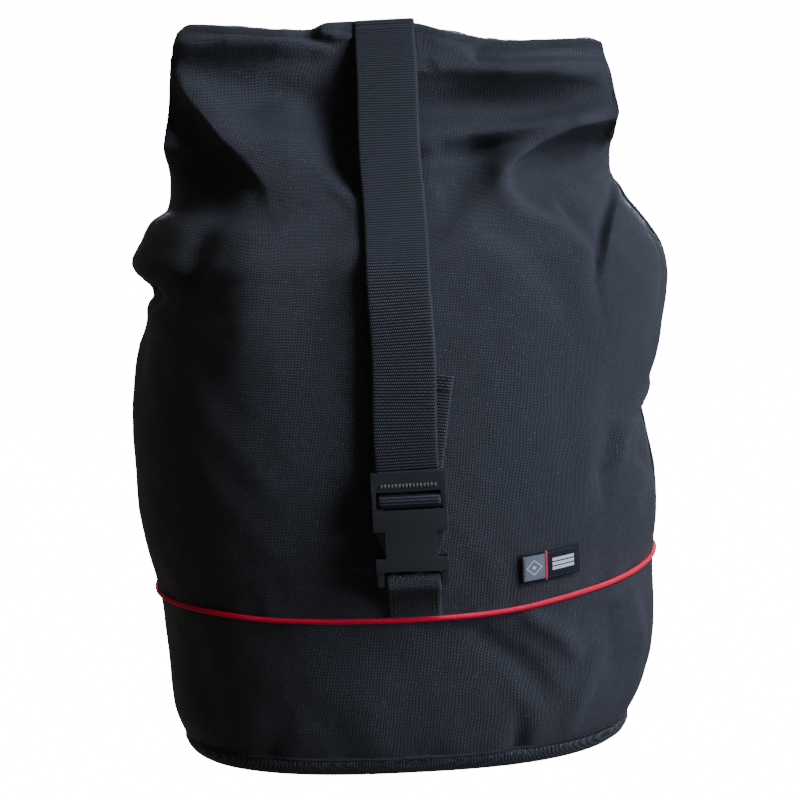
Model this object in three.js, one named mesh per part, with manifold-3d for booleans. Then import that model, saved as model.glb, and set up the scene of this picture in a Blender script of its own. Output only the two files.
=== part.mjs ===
// Roll-top rope storage bag, about 52 litres, standing on its base.
// Units are millimetres. +Z is up, -Y is the front, and the origin is the middle of the flat base.
import * as THREE from 'three';
import { mergeVertices } from 'three/addons/utils/BufferGeometryUtils.js';
import Module from 'manifold-3d';

const wasm = await Module();
wasm.setup();

// Outline of the sewn tube: height, half width, front and back, from the base seam to the rolled mouth.
const LEVELS = [
  { z: 0, half: 195, front: -118, back: 98 },
  { z: 30, half: 208, front: -125, back: 103 },
  { z: 66, half: 216, front: -131, back: 107 },
  { z: 134, half: 220, front: -139, back: 112 },
  { z: 200, half: 228, front: -146, back: 117 },
  { z: 286, half: 221, front: -149, back: 120 },
  { z: 350, half: 226, front: -146, back: 120 },
  { z: 412, half: 233, front: -134, back: 117 },
  { z: 437, half: 219, front: -118, back: 111 },
  { z: 463, half: 196, front: -101, back: 102 },
  { z: 480, half: 193, front: -90, back: 88 },
  { z: 493, half: 191, front: -82, back: 60 },
  { z: 502, half: 190, front: -77, back: 20 },
  { z: 509, half: 189, front: -73, back: -25 },
  { z: 518, half: 188, front: -68, back: -60 },
  { z: 550, half: 187, front: -52, back: -44.5 },
  { z: 580, half: 186, front: -38, back: -31 },
  { z: 602, half: 186, front: -28, back: -21.5 },
];
const SIDE_SHARE = 0.4;
const SQUARENESS = 2.5;

// Fabric, seams and the wide webbing of the closure.
const FABRIC = 1.8;
const GAP = 0.35;
const SEAM_ANGLE = 10;
const SEAM_HALF_GAP = 2;
const BASE_SEAM_Z = 16;
const PIPING_Z = 134;
const PIPING_RADIUS = 2.2;
const WELT_RADIUS = 2.6;
const BINDING_RADIUS = 2.7;
const YOKE_Z = 446;
const MOUTH_Z = 602;
const NECK_BACK_HEIGHTS = [460, 472, 483, 491, 497, 502, 506, 510, 515, 522, 550, 580, MOUTH_Z];
const STRAP_X = 3;
const WEBBING_WIDTH = 50;
const WEBBING = 1.6;
const TAIL_SLANT = 0.17;

// The rolled mouth: a spiral lying behind the flattened neck, with the front running up to its crease.
const ROLL = { y: -2, z: 565.5, depth: 23.5, height: 46, half: 188, pitch: 4.6, turns: 2.5 };

// Side-release buckle for 50 mm webbing, drawn from its foot up and about its middle plane.
const BUCKLE = { x: STRAP_X, y: -158, z: 166.5 };
const FEMALE = { band: 12, neck: 22.5, mouth: 43.5, top: 60, width: 57.6, depth: 13 };
const FOOT_BAR = { low: 1.8, high: 6.6 };
const LADDER = { low: 74.5, high: 89 };
const LOWER_BAR = { low: 64.2, high: 68 };
const ARM_ROOT = 47;

// Carrying harness on the back.
const PAD = { low: 141, high: 430, angle: 42, proud: 13, clearance: 1.4 };
const SHOULDER = { x: 72, width: 52, thickness: 9 };
const NARROW_WEBBING = 25;
const WING = { angle: 28, z: 50 };
const HANDLE = { y: 120, z: 462, half: 38, reach: 44, width: 22, thickness: 2.6, droop: 62 };

const COLORS = {
  fabric: 0x24272e,
  webbing: 0x1e2127,
  plastic: 0x222327,
  piping: 0xd22c44,
  label: 0x14151a,
  foam: 0x3a3b3f,
};
const ROUGHNESS = { fabric: 0.75, webbing: 0.7, plastic: 0.45, piping: 0.5, label: 0.8, foam: 0.9 };

const radians = THREE.MathUtils.degToRad;
const vec = (x, y, z) => new THREE.Vector3(x, y, z);

// Smooth value of one column of LEVELS at height z, without overshoot between rows.
function level(key, z) {
  const rows = LEVELS;
  const last = rows.length - 2;
  let i = rows.findIndex((row) => row.z > z) - 1;
  if (i < 0) i = z < rows[0].z ? 0 : last;
  const slope = (k) => (rows[k + 1][key] - rows[k][key]) / (rows[k + 1].z - rows[k].z);
  const tangent = (k) => {
    const before = slope(Math.max(k - 1, 0));
    const after = slope(Math.min(k, last));
    return before * after <= 0 ? 0 : (2 * before * after) / (before + after);
  };
  const span = rows[i + 1].z - rows[i].z;
  const s = (z - rows[i].z) / span;
  const s2 = s * s;
  const s3 = s2 * s;
  return (2 * s3 - 3 * s2 + 1) * rows[i][key] + (s3 - 2 * s2 + s) * span * tangent(i)
    + (3 * s2 - 2 * s3) * rows[i + 1][key] + (s3 - s2) * span * tangent(i + 1);
}

// Horizontal depth that a wall of the given thickness takes up where its profile leans.
function leaning(key, z, thickness) {
  const lean = level(key, z + 1) - level(key, z - 1);
  return thickness * Math.hypot(1, lean / 2);
}

// A point of the sewn tube: angle 0 is the right side, -90 the front, 90 the back.
function tubePoint(angle, z, inset = 0) {
  const front = level('front', z);
  const back = level('back', z);
  const middle = back - SIDE_SHARE * (back - front);
  const isBack = Math.sin(radians(angle)) > 0;
  const reach = isBack ? back - middle : middle - front;
  const wanted = leaning(isBack ? 'back' : 'front', z, inset);
  const depth = Math.max(reach - wanted, 0.3 * reach);
  const half = level('half', z) - inset;
  const c = Math.cos(radians(angle));
  const s = Math.sin(radians(angle));
  const x = half * Math.sign(c) * Math.abs(c) ** (2 / SQUARENESS);
  const y = middle + depth * Math.sign(s) * Math.abs(s) ** (2 / SQUARENESS);
  return vec(x, y, z);
}

// Closed geometry from a list of points and a list of triangles, with its faces turned outwards.
function solid(points, faces) {
  const volume = faces.reduce((sum, [a, b, c]) => sum + points[a].dot(points[b].clone().cross(points[c])), 0);
  const turned = volume < 0 ? faces.map(([a, b, c]) => [a, c, b]) : faces;
  const geometry = new THREE.BufferGeometry();
  const coordinates = points.flatMap((p) => [p.x, p.y, p.z]);
  geometry.setAttribute('position', new THREE.Float32BufferAttribute(coordinates, 3));
  geometry.setIndex(turned.flat());
  return geometry;
}

// Triangles between two neighbouring loops of equal length.
function stitch(faces, from, to, count) {
  for (let i = 0; i < count; i += 1) {
    const j = (i + 1) % count;
    faces.push([from + i, from + j, to + j], [from + i, to + j, to + i]);
  }
}

// Flat strip of triangles that closes a loop, between its first half and its second half.
function cap(faces, start, count) {
  for (let i = 0; i + 1 < count / 2; i += 1) {
    const opposite = count - 1 - i;
    faces.push([start + i, start + opposite - 1, start + i + 1]);
    faces.push([start + i, start + opposite, start + opposite - 1]);
  }
}

// Solid skinned over loops of points; both ends are closed, or the last loop joins the first.
function skin(loops, joined = false) {
  const count = loops[0].length;
  const faces = [];
  for (let k = 0; k + 1 < loops.length; k += 1) stitch(faces, k * count, (k + 1) * count, count);
  const last = (loops.length - 1) * count;
  if (joined) {
    stitch(faces, last, 0, count);
    return solid(loops.flat(), faces);
  }
  const ends = [];
  cap(faces, 0, count);
  cap(ends, last, count);
  return solid(loops.flat(), [...faces, ...ends.map(([p, q, r]) => [p, r, q])]);
}

// Evenly spaced numbers, both ends included.
const range = (from, to, steps) =>
  Array.from({ length: steps + 1 }, (_, i) => from + ((to - from) * i) / steps);

// A sewn panel: part of the tube between two angles, from its lowest to its highest height.
function panel({ angles, heights, outer, inner }) {
  const edge = (angle, inset) => heights.map((height) => tubePoint(angle, height(angle), inset));
  return skin(angles.map((angle) => [...edge(angle, inner), ...edge(angle, outer).reverse()]));
}

// Heights from one edge of a panel to the other, as functions of the angle.
function between(low, high, steps) {
  return range(0, 1, steps).map((share) => (angle) => low(angle) + share * (high(angle) - low(angle)));
}
const at = (z) => () => z;

// A ring of fabric that goes all the way round the bag.
function ringPanel(heights, inset, sides) {
  const loop = (height, inner) =>
    range(0, 360, sides).slice(0, -1).map((a) => tubePoint(a, height(a), inner));
  const outside = heights.map((height) => loop(height, inset));
  const inside = heights.slice().reverse().map((height) => loop(height, inset + FABRIC));
  return skin([...outside, ...inside], true);
}

// A round cord along a path of points; a closed path gives a ring.
function cord(path, radius, sides, closed) {
  const count = path.length;
  const loops = path.map((point, i) => {
    const next = path[closed ? (i + 1) % count : Math.min(i + 1, count - 1)];
    const previous = path[closed ? (i + count - 1) % count : Math.max(i - 1, 0)];
    const along = next.clone().sub(previous).normalize();
    const outward = vec(point.x, point.y, 0).normalize();
    const side = along.clone().cross(outward).normalize();
    const out = side.clone().cross(along).normalize();
    return range(0, 360, sides).slice(0, -1).map((a) => point.clone()
      .addScaledVector(out, radius * Math.cos(radians(a)))
      .addScaledVector(side, -radius * Math.sin(radians(a))));
  });
  return skin(loops, closed);
}

// Webbing seen from the side: a line in the YZ plane thickened and extended along X.
function webbing(line, thickness, width, centre) {
  const offset = (side) => line.map(([y, z], i) => {
    const a = line[Math.max(i - 1, 0)];
    const b = line[Math.min(i + 1, line.length - 1)];
    const size = Math.hypot(b[0] - a[0], b[1] - a[1]);
    const reach = (side * thickness) / 2 / size;
    return new THREE.Vector2(y - (b[1] - a[1]) * reach, z + (b[0] - a[0]) * reach);
  });
  const shape = new THREE.Shape([...offset(-1), ...offset(1).reverse()]);
  return extrudeAcross(shape, width, centre);
}

// Extrudes a shape drawn in (y, z) along X, centred on the given x.
function extrudeAcross(shape, width, centre = 0) {
  const geometry = new THREE.ExtrudeGeometry(shape, { depth: width, bevelEnabled: false });
  const basis = new THREE.Matrix4().makeBasis(vec(0, 1, 0), vec(0, 0, 1), vec(1, 0, 0));
  return geometry.applyMatrix4(basis).translate(centre - width / 2, 0, 0);
}

// Smooth line through hand-set points in (y, z).
function curve2(points, steps) {
  return new THREE.SplineCurve(points.map(([a, b]) => new THREE.Vector2(a, b)))
    .getSpacedPoints(steps).map((p) => [p.x, p.y]);
}

// A flat band swept along a curve in space; across gives its width direction at each share of the way.
function band(points, steps, size, across) {
  const curve = new THREE.CatmullRomCurve3(points);
  const corners = [[-1, -0.5], [-0.85, -1], [0.85, -1], [1, -0.5], [1, 0.5], [0.85, 1], [-0.85, 1],
    [-1, 0.5]];
  const loops = range(0, 1, steps).map((share) => {
    const along = curve.getTangentAt(share);
    const wide = across(share).clone();
    wide.addScaledVector(along, -wide.dot(along)).normalize();
    const thick = along.clone().cross(wide);
    const { width, thickness } = size(share);
    return corners.map(([u, v]) => curve.getPointAt(share)
      .addScaledVector(wide, (u * width) / 2)
      .addScaledVector(thick, (v * thickness) / 2));
  });
  return skin(loops);
}

// Boolean helpers: a three.js geometry as a manifold solid, and back again.
function toManifold(geometry) {
  const bare = geometry.clone();
  bare.deleteAttribute('normal');
  bare.deleteAttribute('uv');
  const merged = mergeVertices(bare, 1e-4);
  const vertProperties = new Float32Array(merged.attributes.position.array);
  const triVerts = new Uint32Array(merged.index.array);
  return new wasm.Manifold(new wasm.Mesh({ numProp: 3, vertProperties, triVerts }));
}

function fromManifold(manifold) {
  const mesh = manifold.getMesh();
  const geometry = new THREE.BufferGeometry();
  geometry.setAttribute('position', new THREE.BufferAttribute(mesh.vertProperties, 3));
  geometry.setIndex(new THREE.BufferAttribute(mesh.triVerts, 1));
  return geometry;
}

function block([x0, x1], [y0, y1], [z0, z1]) {
  const geometry = new THREE.BoxGeometry(x1 - x0, y1 - y0, z1 - z0);
  geometry.translate((x0 + x1) / 2, (y0 + y1) / 2, (z0 + z1) / 2);
  return toManifold(geometry);
}

const joinAll = (pieces) => pieces.reduce((whole, piece) => whole.add(piece));

// Plate drawn in (x, z) and extruded through the buckle's thickness.
function plate(outline, [y0, y1]) {
  const shape = new THREE.Shape(outline.map(([x, z]) => new THREE.Vector2(x, z)));
  const geometry = new THREE.ExtrudeGeometry(shape, { depth: y1 - y0, bevelEnabled: false });
  return toManifold(geometry.rotateX(Math.PI / 2).translate(0, y1, 0));
}

// ---- The sewn body -------------------------------------------------------------------------

function basePanel() {
  const edge = [[0.5, 0], [0.93, 0], [0.975, 2.2], [0.995, 7], [1, BASE_SEAM_Z - WELT_RADIUS - GAP]];
  const loop = (scale, z, inset) => range(0, 360, 48).slice(0, -1).map((angle) => {
    const rim = tubePoint(angle, BASE_SEAM_Z, inset);
    return vec(rim.x * scale, rim.y * scale, z);
  });
  const outside = edge.map(([scale, z]) => loop(scale, z, 0));
  const inside = edge.slice().reverse().map(([scale, z]) => loop(scale, z + (z < 8 ? FABRIC : 0), FABRIC));
  return skin([...outside, ...inside]);
}

function baseStiffener() {
  const loop = (z) => range(0, 360, 40).slice(0, -1).map((angle) => {
    const rim = tubePoint(angle, BASE_SEAM_Z, 12);
    return vec(rim.x * 0.9, rim.y * 0.9, z);
  });
  return skin([loop(FABRIC + 0.4), loop(FABRIC + 3.4)]);
}

function ringPath(height, outset, steps) {
  return range(0, 360, steps).slice(0, -1).map((angle) => tubePoint(angle, height(angle), -outset));
}

function lowerBand() {
  const low = at(BASE_SEAM_Z + WELT_RADIUS + GAP);
  const high = at(PIPING_Z - PIPING_RADIUS - GAP);
  return ringPanel(between(low, high, 4), 0, 48);
}

// Heights of the front: even steps on the body, finer ones where the neck narrows.
function frontHeights() {
  const body = between(at(PIPING_Z + PIPING_RADIUS + GAP), at(437), 9);
  const neck = [450, 463, 480, 493, 502, 509, 518, 534, 550, 580, MOUTH_Z].map(at);
  return [...body, ...neck];
}

function bodyWrap() {
  const start = SEAM_ANGLE - SEAM_HALF_GAP;
  const angles = range(start, -180 - start, 32).reverse();
  return panel({ angles, heights: frontHeights(), outer: 0, inner: FABRIC });
}

function backPanel() {
  const start = SEAM_ANGLE + SEAM_HALF_GAP;
  const heights = between(at(PIPING_Z + PIPING_RADIUS + GAP), at(YOKE_Z - GAP), 8);
  return panel({ angles: range(start, 180 - start, 16), heights, outer: 0, inner: FABRIC });
}

function upperBack() {
  const start = SEAM_ANGLE + 2.5 * SEAM_HALF_GAP;
  const heights = [YOKE_Z + GAP, ...NECK_BACK_HEIGHTS].map(at);
  return panel({ angles: range(start, 180 - start, 16), heights, outer: 0, inner: FABRIC });
}

function sideBinding(side) {
  const angle = side > 0 ? SEAM_ANGLE : 180 - SEAM_ANGLE;
  const low = PIPING_Z + PIPING_RADIUS + BINDING_RADIUS + GAP;
  const path = range(low, YOKE_Z, 16).map((z) => tubePoint(angle, z, -1.2));
  return cord(path, BINDING_RADIUS, 8, false);
}

function yokeTape() {
  const heights = [YOKE_Z - 8, YOKE_Z, YOKE_Z + 8].map(at);
  const angles = range(22, 158, 14);
  return panel({ angles, heights, outer: -3.5 * GAP - 1.6, inner: -3.5 * GAP });
}

function label() {
  const heights = [158, 170, 182].map(at);
  return panel({ angles: range(-72, -57, 5), heights, outer: -GAP - 0.8, inner: -GAP });
}

// ---- The rolled mouth ----------------------------------------------------------------------

function rollPoint(angle, outset = 0) {
  const shrink = (ROLL.pitch * Math.max(angle - 75, 0)) / 360;
  return [
    ROLL.y - (ROLL.depth - shrink + outset) * Math.cos(radians(angle)),
    ROLL.z + (ROLL.height - shrink + outset) * Math.sin(radians(angle)),
  ];
}

function rollSheet() {
  const spiral = range(75, 75 + 360 * ROLL.turns, 46).map((angle) => rollPoint(angle));
  return webbing([[-25.2, ROLL.z + 41.1], [-17, ROLL.z + 43.6], ...spiral], FABRIC, 2 * ROLL.half, 0);
}

function rollStiffener() {
  const line = [[ROLL.y, ROLL.z - 26], [ROLL.y, ROLL.z + 26]];
  return webbing(line, 2.4, 2 * ROLL.half - 12, 0);
}

// ---- The closing strap ---------------------------------------------------------------------

function strapBack() {
  const points = [[106.8, 457], [103.6, 466], [92, 482], [75, 504], [52, 535], [25, 571.4]];
  return webbing(curve2(points, 12), WEBBING, WEBBING_WIDTH, STRAP_X);
}

function strapOver() {
  const outset = FABRIC / 2 + GAP + WEBBING / 2;
  const arc = range(84, 170, 10).map((angle) => rollPoint(angle, outset + 0.3));
  const line = [[-29.6, ROLL.z + 40.7], [-26, ROLL.z + 44.6], [-17, ROLL.z + 46.6], ...arc];
  return webbing(line, WEBBING, WEBBING_WIDTH, STRAP_X);
}

function strapUpper() {
  const heights = [431.4, 445, 463, 480, 493, 505, 518, 534, 550, 565, 580, 592, MOUTH_Z];
  const line = heights.map((z) => [tubePoint(-90, z, -(WEBBING / 2 + 2 * GAP)).y, z]);
  return webbing([...line, [-28.9, MOUTH_Z + 2.6]], WEBBING, WEBBING_WIDTH, STRAP_X);
}

function strapLower() {
  const points = [[-156.4, 256.6], [-157, 272], [-156.8, 295], [-155.4, 325], [-152, 356],
    [-146.6, 389], [-139.4, 413], [-125.2, 430.6]];
  return webbing(curve2(points, 14), WEBBING, WEBBING_WIDTH, STRAP_X);
}

// Webbing threaded behind the ladder bar and round the lower bar of the buckle.
function strapLoop() {
  const line = [[1.6, 89.8], [1.6, 74], [-1.6, 71.6], [-5, 70.2], [-5.9, 66], [-4.4, 62.8],
    [-0.2, 62.8], [2.4, 65.5], [4.2, 70], [4.2, 89.8]];
  return place(webbing(line, WEBBING, WEBBING_WIDTH - 0.6, 0));
}

// The free end slants out to the right from the top of the buckle.
function slantTail(geometry) {
  const pivot = BUCKLE.z + LADDER.high;
  const slant = new THREE.Matrix4().makeShear(0, 0, 0, 0, TAIL_SLANT, 0);
  return geometry.translate(0, 0, -pivot).applyMatrix4(slant).translate(0, 0, pivot);
}

function strapTail() {
  const points = [[-153.8, 256.8], [-153.4, 280], [-152.7, 300], [-152.2, 318.6]];
  return slantTail(webbing(curve2(points, 6), WEBBING, WEBBING_WIDTH - 1, STRAP_X + 2.5));
}

function tailHem() {
  const line = [[-152.2, 319], [-151.7, 330]];
  return slantTail(webbing(line, 2.2, WEBBING_WIDTH - 1, STRAP_X + 2.5));
}

// Fabric tab that rises from the piping seam and loops round the bar at the foot of the buckle.
function buckleTab() {
  const line = [[15.4, -29], [13, -20], [8, -12], [-3, -3.4], [-4.6, 3], [-3.4, 7.8], [0, 9.2],
    [3.4, 7.6], [4.2, 4], [5.4, 0], [11, -9]];
  return place(webbing(line, FABRIC - 0.4, 42, 0));
}

// ---- The buckle ----------------------------------------------------------------------------

const place = (geometry) => geometry.translate(BUCKLE.x, BUCKLE.y, BUCKLE.z);
const both = (half) => [-half, half];

function buckleFemale() {
  const half = FEMALE.width / 2;
  const deep = both(FEMALE.depth / 2);
  const leg = (side) => block([side * 24.8 - 2.8, side * 24.8 + 2.8], both(4), [0, FEMALE.band + 1]);
  const body = joinAll([
    block(both(half), deep, [FEMALE.mouth, FEMALE.top]),
    block(both(20), deep, [FEMALE.neck - 1, FEMALE.mouth + 1]),
    block(both(half - 0.8), deep, [FEMALE.band, FEMALE.neck]),
    block(both(23), both(2.4), [FOOT_BAR.low, FOOT_BAR.high]),
    leg(1),
    leg(-1),
  ]);
  const socket = block(both(26.9), both(4.4), [FEMALE.band + 4, FEMALE.top + 1]);
  return place(fromManifold(body.subtract(socket)));
}

function buckleMale() {
  const rail = (side) => joinAll([
    block([side * 27.1 - 1.7, side * 27.1 + 1.7], [-6, 5.6], [FEMALE.top + 0.6, LADDER.high]),
    block([side * 23.5 - 2.5, side * 23.5 + 2.5], both(3.8), [ARM_ROOT + 1, FEMALE.top + 1.6]),
  ]);
  const teeth = range(-20, 20, 10).map((x) => block([x - 1, x + 1], [-6.6, -5.8],
    [LADDER.low + 3, LADDER.low + 6]));
  return place(fromManifold(joinAll([
    rail(1),
    rail(-1),
    block(both(26), [-6, 0.2], [LADDER.low, LADDER.high]),
    block(both(26), [-4, -0.8], [LOWER_BAR.low, LOWER_BAR.high]),
    block(both(24), both(3.8), [ARM_ROOT + 1, ARM_ROOT + 10]),
    block(both(4), both(2.6), [ARM_ROOT - 21, ARM_ROOT + 2]),
    ...teeth,
  ])));
}

// One sprung arm: its barb sits under the mouth band and shows in the side window.
function buckleArm(side) {
  const outline = [[13.6, 0], [19.4, 0], [19.8, -3.8], [26, -4], [26, -7], [21, -22], [18, -26],
    [14.8, -24.8]];
  const points = outline.map(([x, z]) => [side * x, ARM_ROOT + 0.2 + z]);
  return place(fromManifold(plate(points, both(3.4))));
}

// ---- The harness on the back ---------------------------------------------------------------

// Half opening angle of the pad at a height, with round corners at its top and foot.
function padAngle(z) {
  const share = (2 * (z - PAD.low)) / (PAD.high - PAD.low) - 1;
  return PAD.angle * (1 - 0.32 * Math.abs(share) ** 6);
}

function backPad() {
  const heights = range(PAD.low, PAD.high, 12);
  const shares = range(-1, 1, 14);
  const face = (z, share) => {
    const up = (2 * (z - PAD.low)) / (PAD.high - PAD.low) - 1;
    const drop = 1 - 0.75 * Math.max(Math.abs(share) ** 8, Math.abs(up) ** 10);
    return tubePoint(90 - share * padAngle(z), z, -(PAD.proud * drop));
  };
  const sections = shares.map((share) => [
    ...heights.map((z) => tubePoint(90 - share * padAngle(z), z, -PAD.clearance)),
    ...heights.slice().reverse().map((z) => face(z, share)),
  ]);
  return skin(sections.reverse());
}

function shoulderStrap(side) {
  const path = [[SHOULDER.x, 112, 461], [SHOULDER.x, 128, 455], [76, 146, 430], [86, 157, 376],
    [98, 160, 310], [110, 156, 245], [117, 148, 200]];
  const points = path.map(([x, y, z]) => vec(side * x, y, z));
  const size = (share) => ({
    width: SHOULDER.width * (1 - 0.3 * Math.max(share - 0.55, 0) / 0.45),
    thickness: SHOULDER.thickness * (1 - 0.45 * Math.max(0.12 - share, 0) / 0.12),
  });
  return band(points, 16, size, () => vec(1, side * 0.12, 0));
}

// Three-bar adjuster at the foot of a shoulder strap.
function ladderLock(side) {
  const x = side * 119.4;
  const size = NARROW_WEBBING / 2;
  const y = [143.2, 147.6];
  const bar = (low, high) => block([x - size - 1, x + size + 1], y, [low, high]);
  const rail = (edge) => block([x + edge * (size + 3.2) - 2.2, x + edge * (size + 3.2) + 2.2], y, [166, 196]);
  return fromManifold(joinAll([rail(1), rail(-1), bar(191.5, 196), bar(180, 184), bar(166, 171)]));
}

// Narrow webbing from the lower corner up behind the adjuster.
function lowerWebbing(side) {
  const start = tubePoint(WING.angle, WING.z + 4, -7);
  const free = [[180, 86, 74], [150, 119, 116], [124, 137.6, 160], [119.6, 140.6, 189]];
  const points = [[start.x, start.y, start.z], ...free].map(([x, y, z]) => vec(side * x, y, z));
  const lean = (share) => vec(1, side * (-0.75 + 0.72 * share), -side * 0.12 * (1 - share));
  return band(points, 12, () => ({ width: NARROW_WEBBING - 1, thickness: WEBBING }), lean);
}

// Free end of the narrow webbing, folded over the adjuster's middle bar.
function adjusterTail(side) {
  const line = [[141.9 + 7.2, 188], [149.6, 182], [150, 170], [151, 150], [151.6, 128]];
  return webbing(curve2(line, 8), WEBBING, NARROW_WEBBING - 1, side * 119.4);
}

// Folded fabric wing sewn into the lower corner, which holds the narrow webbing.
function cornerWing(side) {
  const middle = side > 0 ? WING.angle : 180 - WING.angle;
  const angles = range(middle - 8, middle + 8, 4);
  const spread = (share) => (angle) => WING.z + (share - 0.5) * (50 - 3.2 * Math.abs(angle - middle));
  return panel({ angles, heights: [spread(0), spread(0.5), spread(1)], outer: -GAP - 2, inner: -GAP });
}

function grabHandle() {
  const down = vec(0, Math.cos(radians(HANDLE.droop)), -Math.sin(radians(HANDLE.droop)));
  const wide = vec(0, Math.sin(radians(HANDLE.droop)), Math.cos(radians(HANDLE.droop)));
  const points = range(-1, 1, 8).map((share) => {
    const reach = HANDLE.reach * (1 - Math.abs(share) ** 3) + 1;
    return vec(STRAP_X + share * HANDLE.half, HANDLE.y, HANDLE.z).addScaledVector(down, reach);
  });
  return band(points, 18, () => ({ width: HANDLE.width, thickness: HANDLE.thickness }), () => wide);
}

function handleAnchor(side) {
  const centre = 90 - side * 12;
  const heights = [HANDLE.z - 5, HANDLE.z + 9].map(at);
  return panel({ angles: range(centre - 2.4, centre + 2.4, 2), heights, outer: -GAP - 2.2, inner: -GAP });
}

// ---- Assembly ------------------------------------------------------------------------------

const bag = new THREE.Group();

function addPart(name, geometry, kind) {
  const look = { color: COLORS[kind], roughness: ROUGHNESS[kind], metalness: 0 };
  const material = new THREE.MeshStandardMaterial(look);
  const mesh = new THREE.Mesh(geometry, material);
  mesh.name = name;
  bag.add(mesh);
}

addPart('base_panel', basePanel(), 'fabric');
addPart('base_stiffener', baseStiffener(), 'foam');
addPart('base_welt', cord(ringPath(at(BASE_SEAM_Z), 0.6, 48), WELT_RADIUS, 8, true), 'fabric');
addPart('lower_band', lowerBand(), 'fabric');
addPart('piping', cord(ringPath(at(PIPING_Z), 0.8, 56), PIPING_RADIUS, 8, true), 'piping');
addPart('body_wrap', bodyWrap(), 'fabric');
addPart('back_panel', backPanel(), 'fabric');
addPart('upper_back', upperBack(), 'fabric');
addPart('yoke_tape', yokeTape(), 'webbing');
addPart('label', label(), 'label');
addPart('roll_sheet', rollSheet(), 'fabric');
addPart('roll_stiffener', rollStiffener(), 'foam');
addPart('strap_back', strapBack(), 'webbing');
addPart('strap_over', strapOver(), 'webbing');
addPart('strap_upper', strapUpper(), 'webbing');
addPart('strap_lower', strapLower(), 'webbing');
addPart('strap_loop', strapLoop(), 'webbing');
addPart('strap_tail', strapTail(), 'webbing');
addPart('tail_hem', tailHem(), 'webbing');
addPart('buckle_tab', buckleTab(), 'fabric');
addPart('buckle_female', buckleFemale(), 'plastic');
addPart('buckle_male_frame', buckleMale(), 'plastic');
addPart('back_pad', backPad(), 'fabric');
addPart('grab_handle', grabHandle(), 'webbing');

for (const [name, side] of [['left', -1], ['right', 1]]) {
  addPart(`side_binding_${name}`, sideBinding(side), 'fabric');
  addPart(`buckle_arm_${name}`, buckleArm(side), 'plastic');
  addPart(`shoulder_strap_${name}`, shoulderStrap(side), 'fabric');
  addPart(`ladder_lock_${name}`, ladderLock(side), 'plastic');
  addPart(`lower_webbing_${name}`, lowerWebbing(side), 'webbing');
  addPart(`adjuster_tail_${name}`, adjusterTail(side), 'webbing');
  addPart(`corner_wing_${name}`, cornerWing(side), 'fabric');
  addPart(`handle_anchor_${name}`, handleAnchor(side), 'webbing');
}

export default bag;
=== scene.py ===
import math

import bmesh
import bpy
import numpy as np
from mathutils import Matrix, Vector


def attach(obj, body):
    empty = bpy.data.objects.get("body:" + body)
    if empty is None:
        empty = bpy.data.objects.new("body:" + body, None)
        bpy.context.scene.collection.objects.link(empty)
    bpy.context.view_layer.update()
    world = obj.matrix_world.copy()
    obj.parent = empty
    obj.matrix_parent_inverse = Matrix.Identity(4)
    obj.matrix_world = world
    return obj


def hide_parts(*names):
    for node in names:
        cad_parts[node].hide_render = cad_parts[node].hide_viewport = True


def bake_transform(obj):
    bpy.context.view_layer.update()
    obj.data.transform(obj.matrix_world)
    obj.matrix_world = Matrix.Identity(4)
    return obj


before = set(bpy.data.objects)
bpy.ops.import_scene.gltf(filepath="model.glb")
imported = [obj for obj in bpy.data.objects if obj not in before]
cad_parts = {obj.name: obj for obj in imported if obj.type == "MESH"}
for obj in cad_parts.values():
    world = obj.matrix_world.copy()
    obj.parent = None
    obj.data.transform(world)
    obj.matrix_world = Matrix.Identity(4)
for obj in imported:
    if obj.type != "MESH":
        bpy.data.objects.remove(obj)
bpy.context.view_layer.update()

# ---- Driving sizes, in metres, in the frame's own axes: +Z up, -Y the front -------------------

# The sewn tube: height, front and back of its middle line.
DEPTHS = [
    (0.000, -0.118, 0.098), (0.030, -0.125, 0.103), (0.066, -0.131, 0.107), (0.134, -0.139, 0.112),
    (0.200, -0.146, 0.117), (0.286, -0.149, 0.120), (0.350, -0.146, 0.120), (0.412, -0.134, 0.117),
    (0.437, -0.118, 0.111), (0.463, -0.101, 0.102), (0.480, -0.090, 0.088), (0.493, -0.082, 0.060),
    (0.502, -0.077, 0.020), (0.509, -0.073, -0.025), (0.518, -0.068, -0.056), (0.550, -0.052, -0.0445),
    (0.580, -0.038, -0.031), (0.602, -0.029, -0.0215),
]
# How far the tube reaches to the left and to the right at each height.
LEFT_REACH = [
    (0.000, 0.193), (0.020, 0.205), (0.040, 0.2110), (0.100, 0.2145), (0.136, 0.2180), (0.180, 0.2270),
    (0.215, 0.2305), (0.270, 0.2305), (0.300, 0.2270), (0.345, 0.2190), (0.370, 0.2140), (0.386, 0.2085),
    (0.400, 0.2095), (0.412, 0.2200), (0.422, 0.2240), (0.436, 0.2180), (0.452, 0.2020), (0.466, 0.1890),
    (0.490, 0.1850), (0.520, 0.1810), (0.550, 0.1775), (0.585, 0.1750), (0.602, 0.1745),
]
RIGHT_REACH = [
    (0.000, 0.176), (0.010, 0.181), (0.020, 0.1900), (0.040, 0.2020), (0.060, 0.2090), (0.090, 0.2120),
    (0.130, 0.2125), (0.175, 0.2165), (0.210, 0.2150), (0.250, 0.2105), (0.284, 0.2060), (0.298, 0.2120),
    (0.330, 0.2230), (0.360, 0.2290), (0.390, 0.2325), (0.410, 0.2300), (0.432, 0.2185), (0.460, 0.1985),
    (0.480, 0.1920), (0.518, 0.1875), (0.530, 0.1900), (0.560, 0.1885), (0.602, 0.1835),
]
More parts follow.
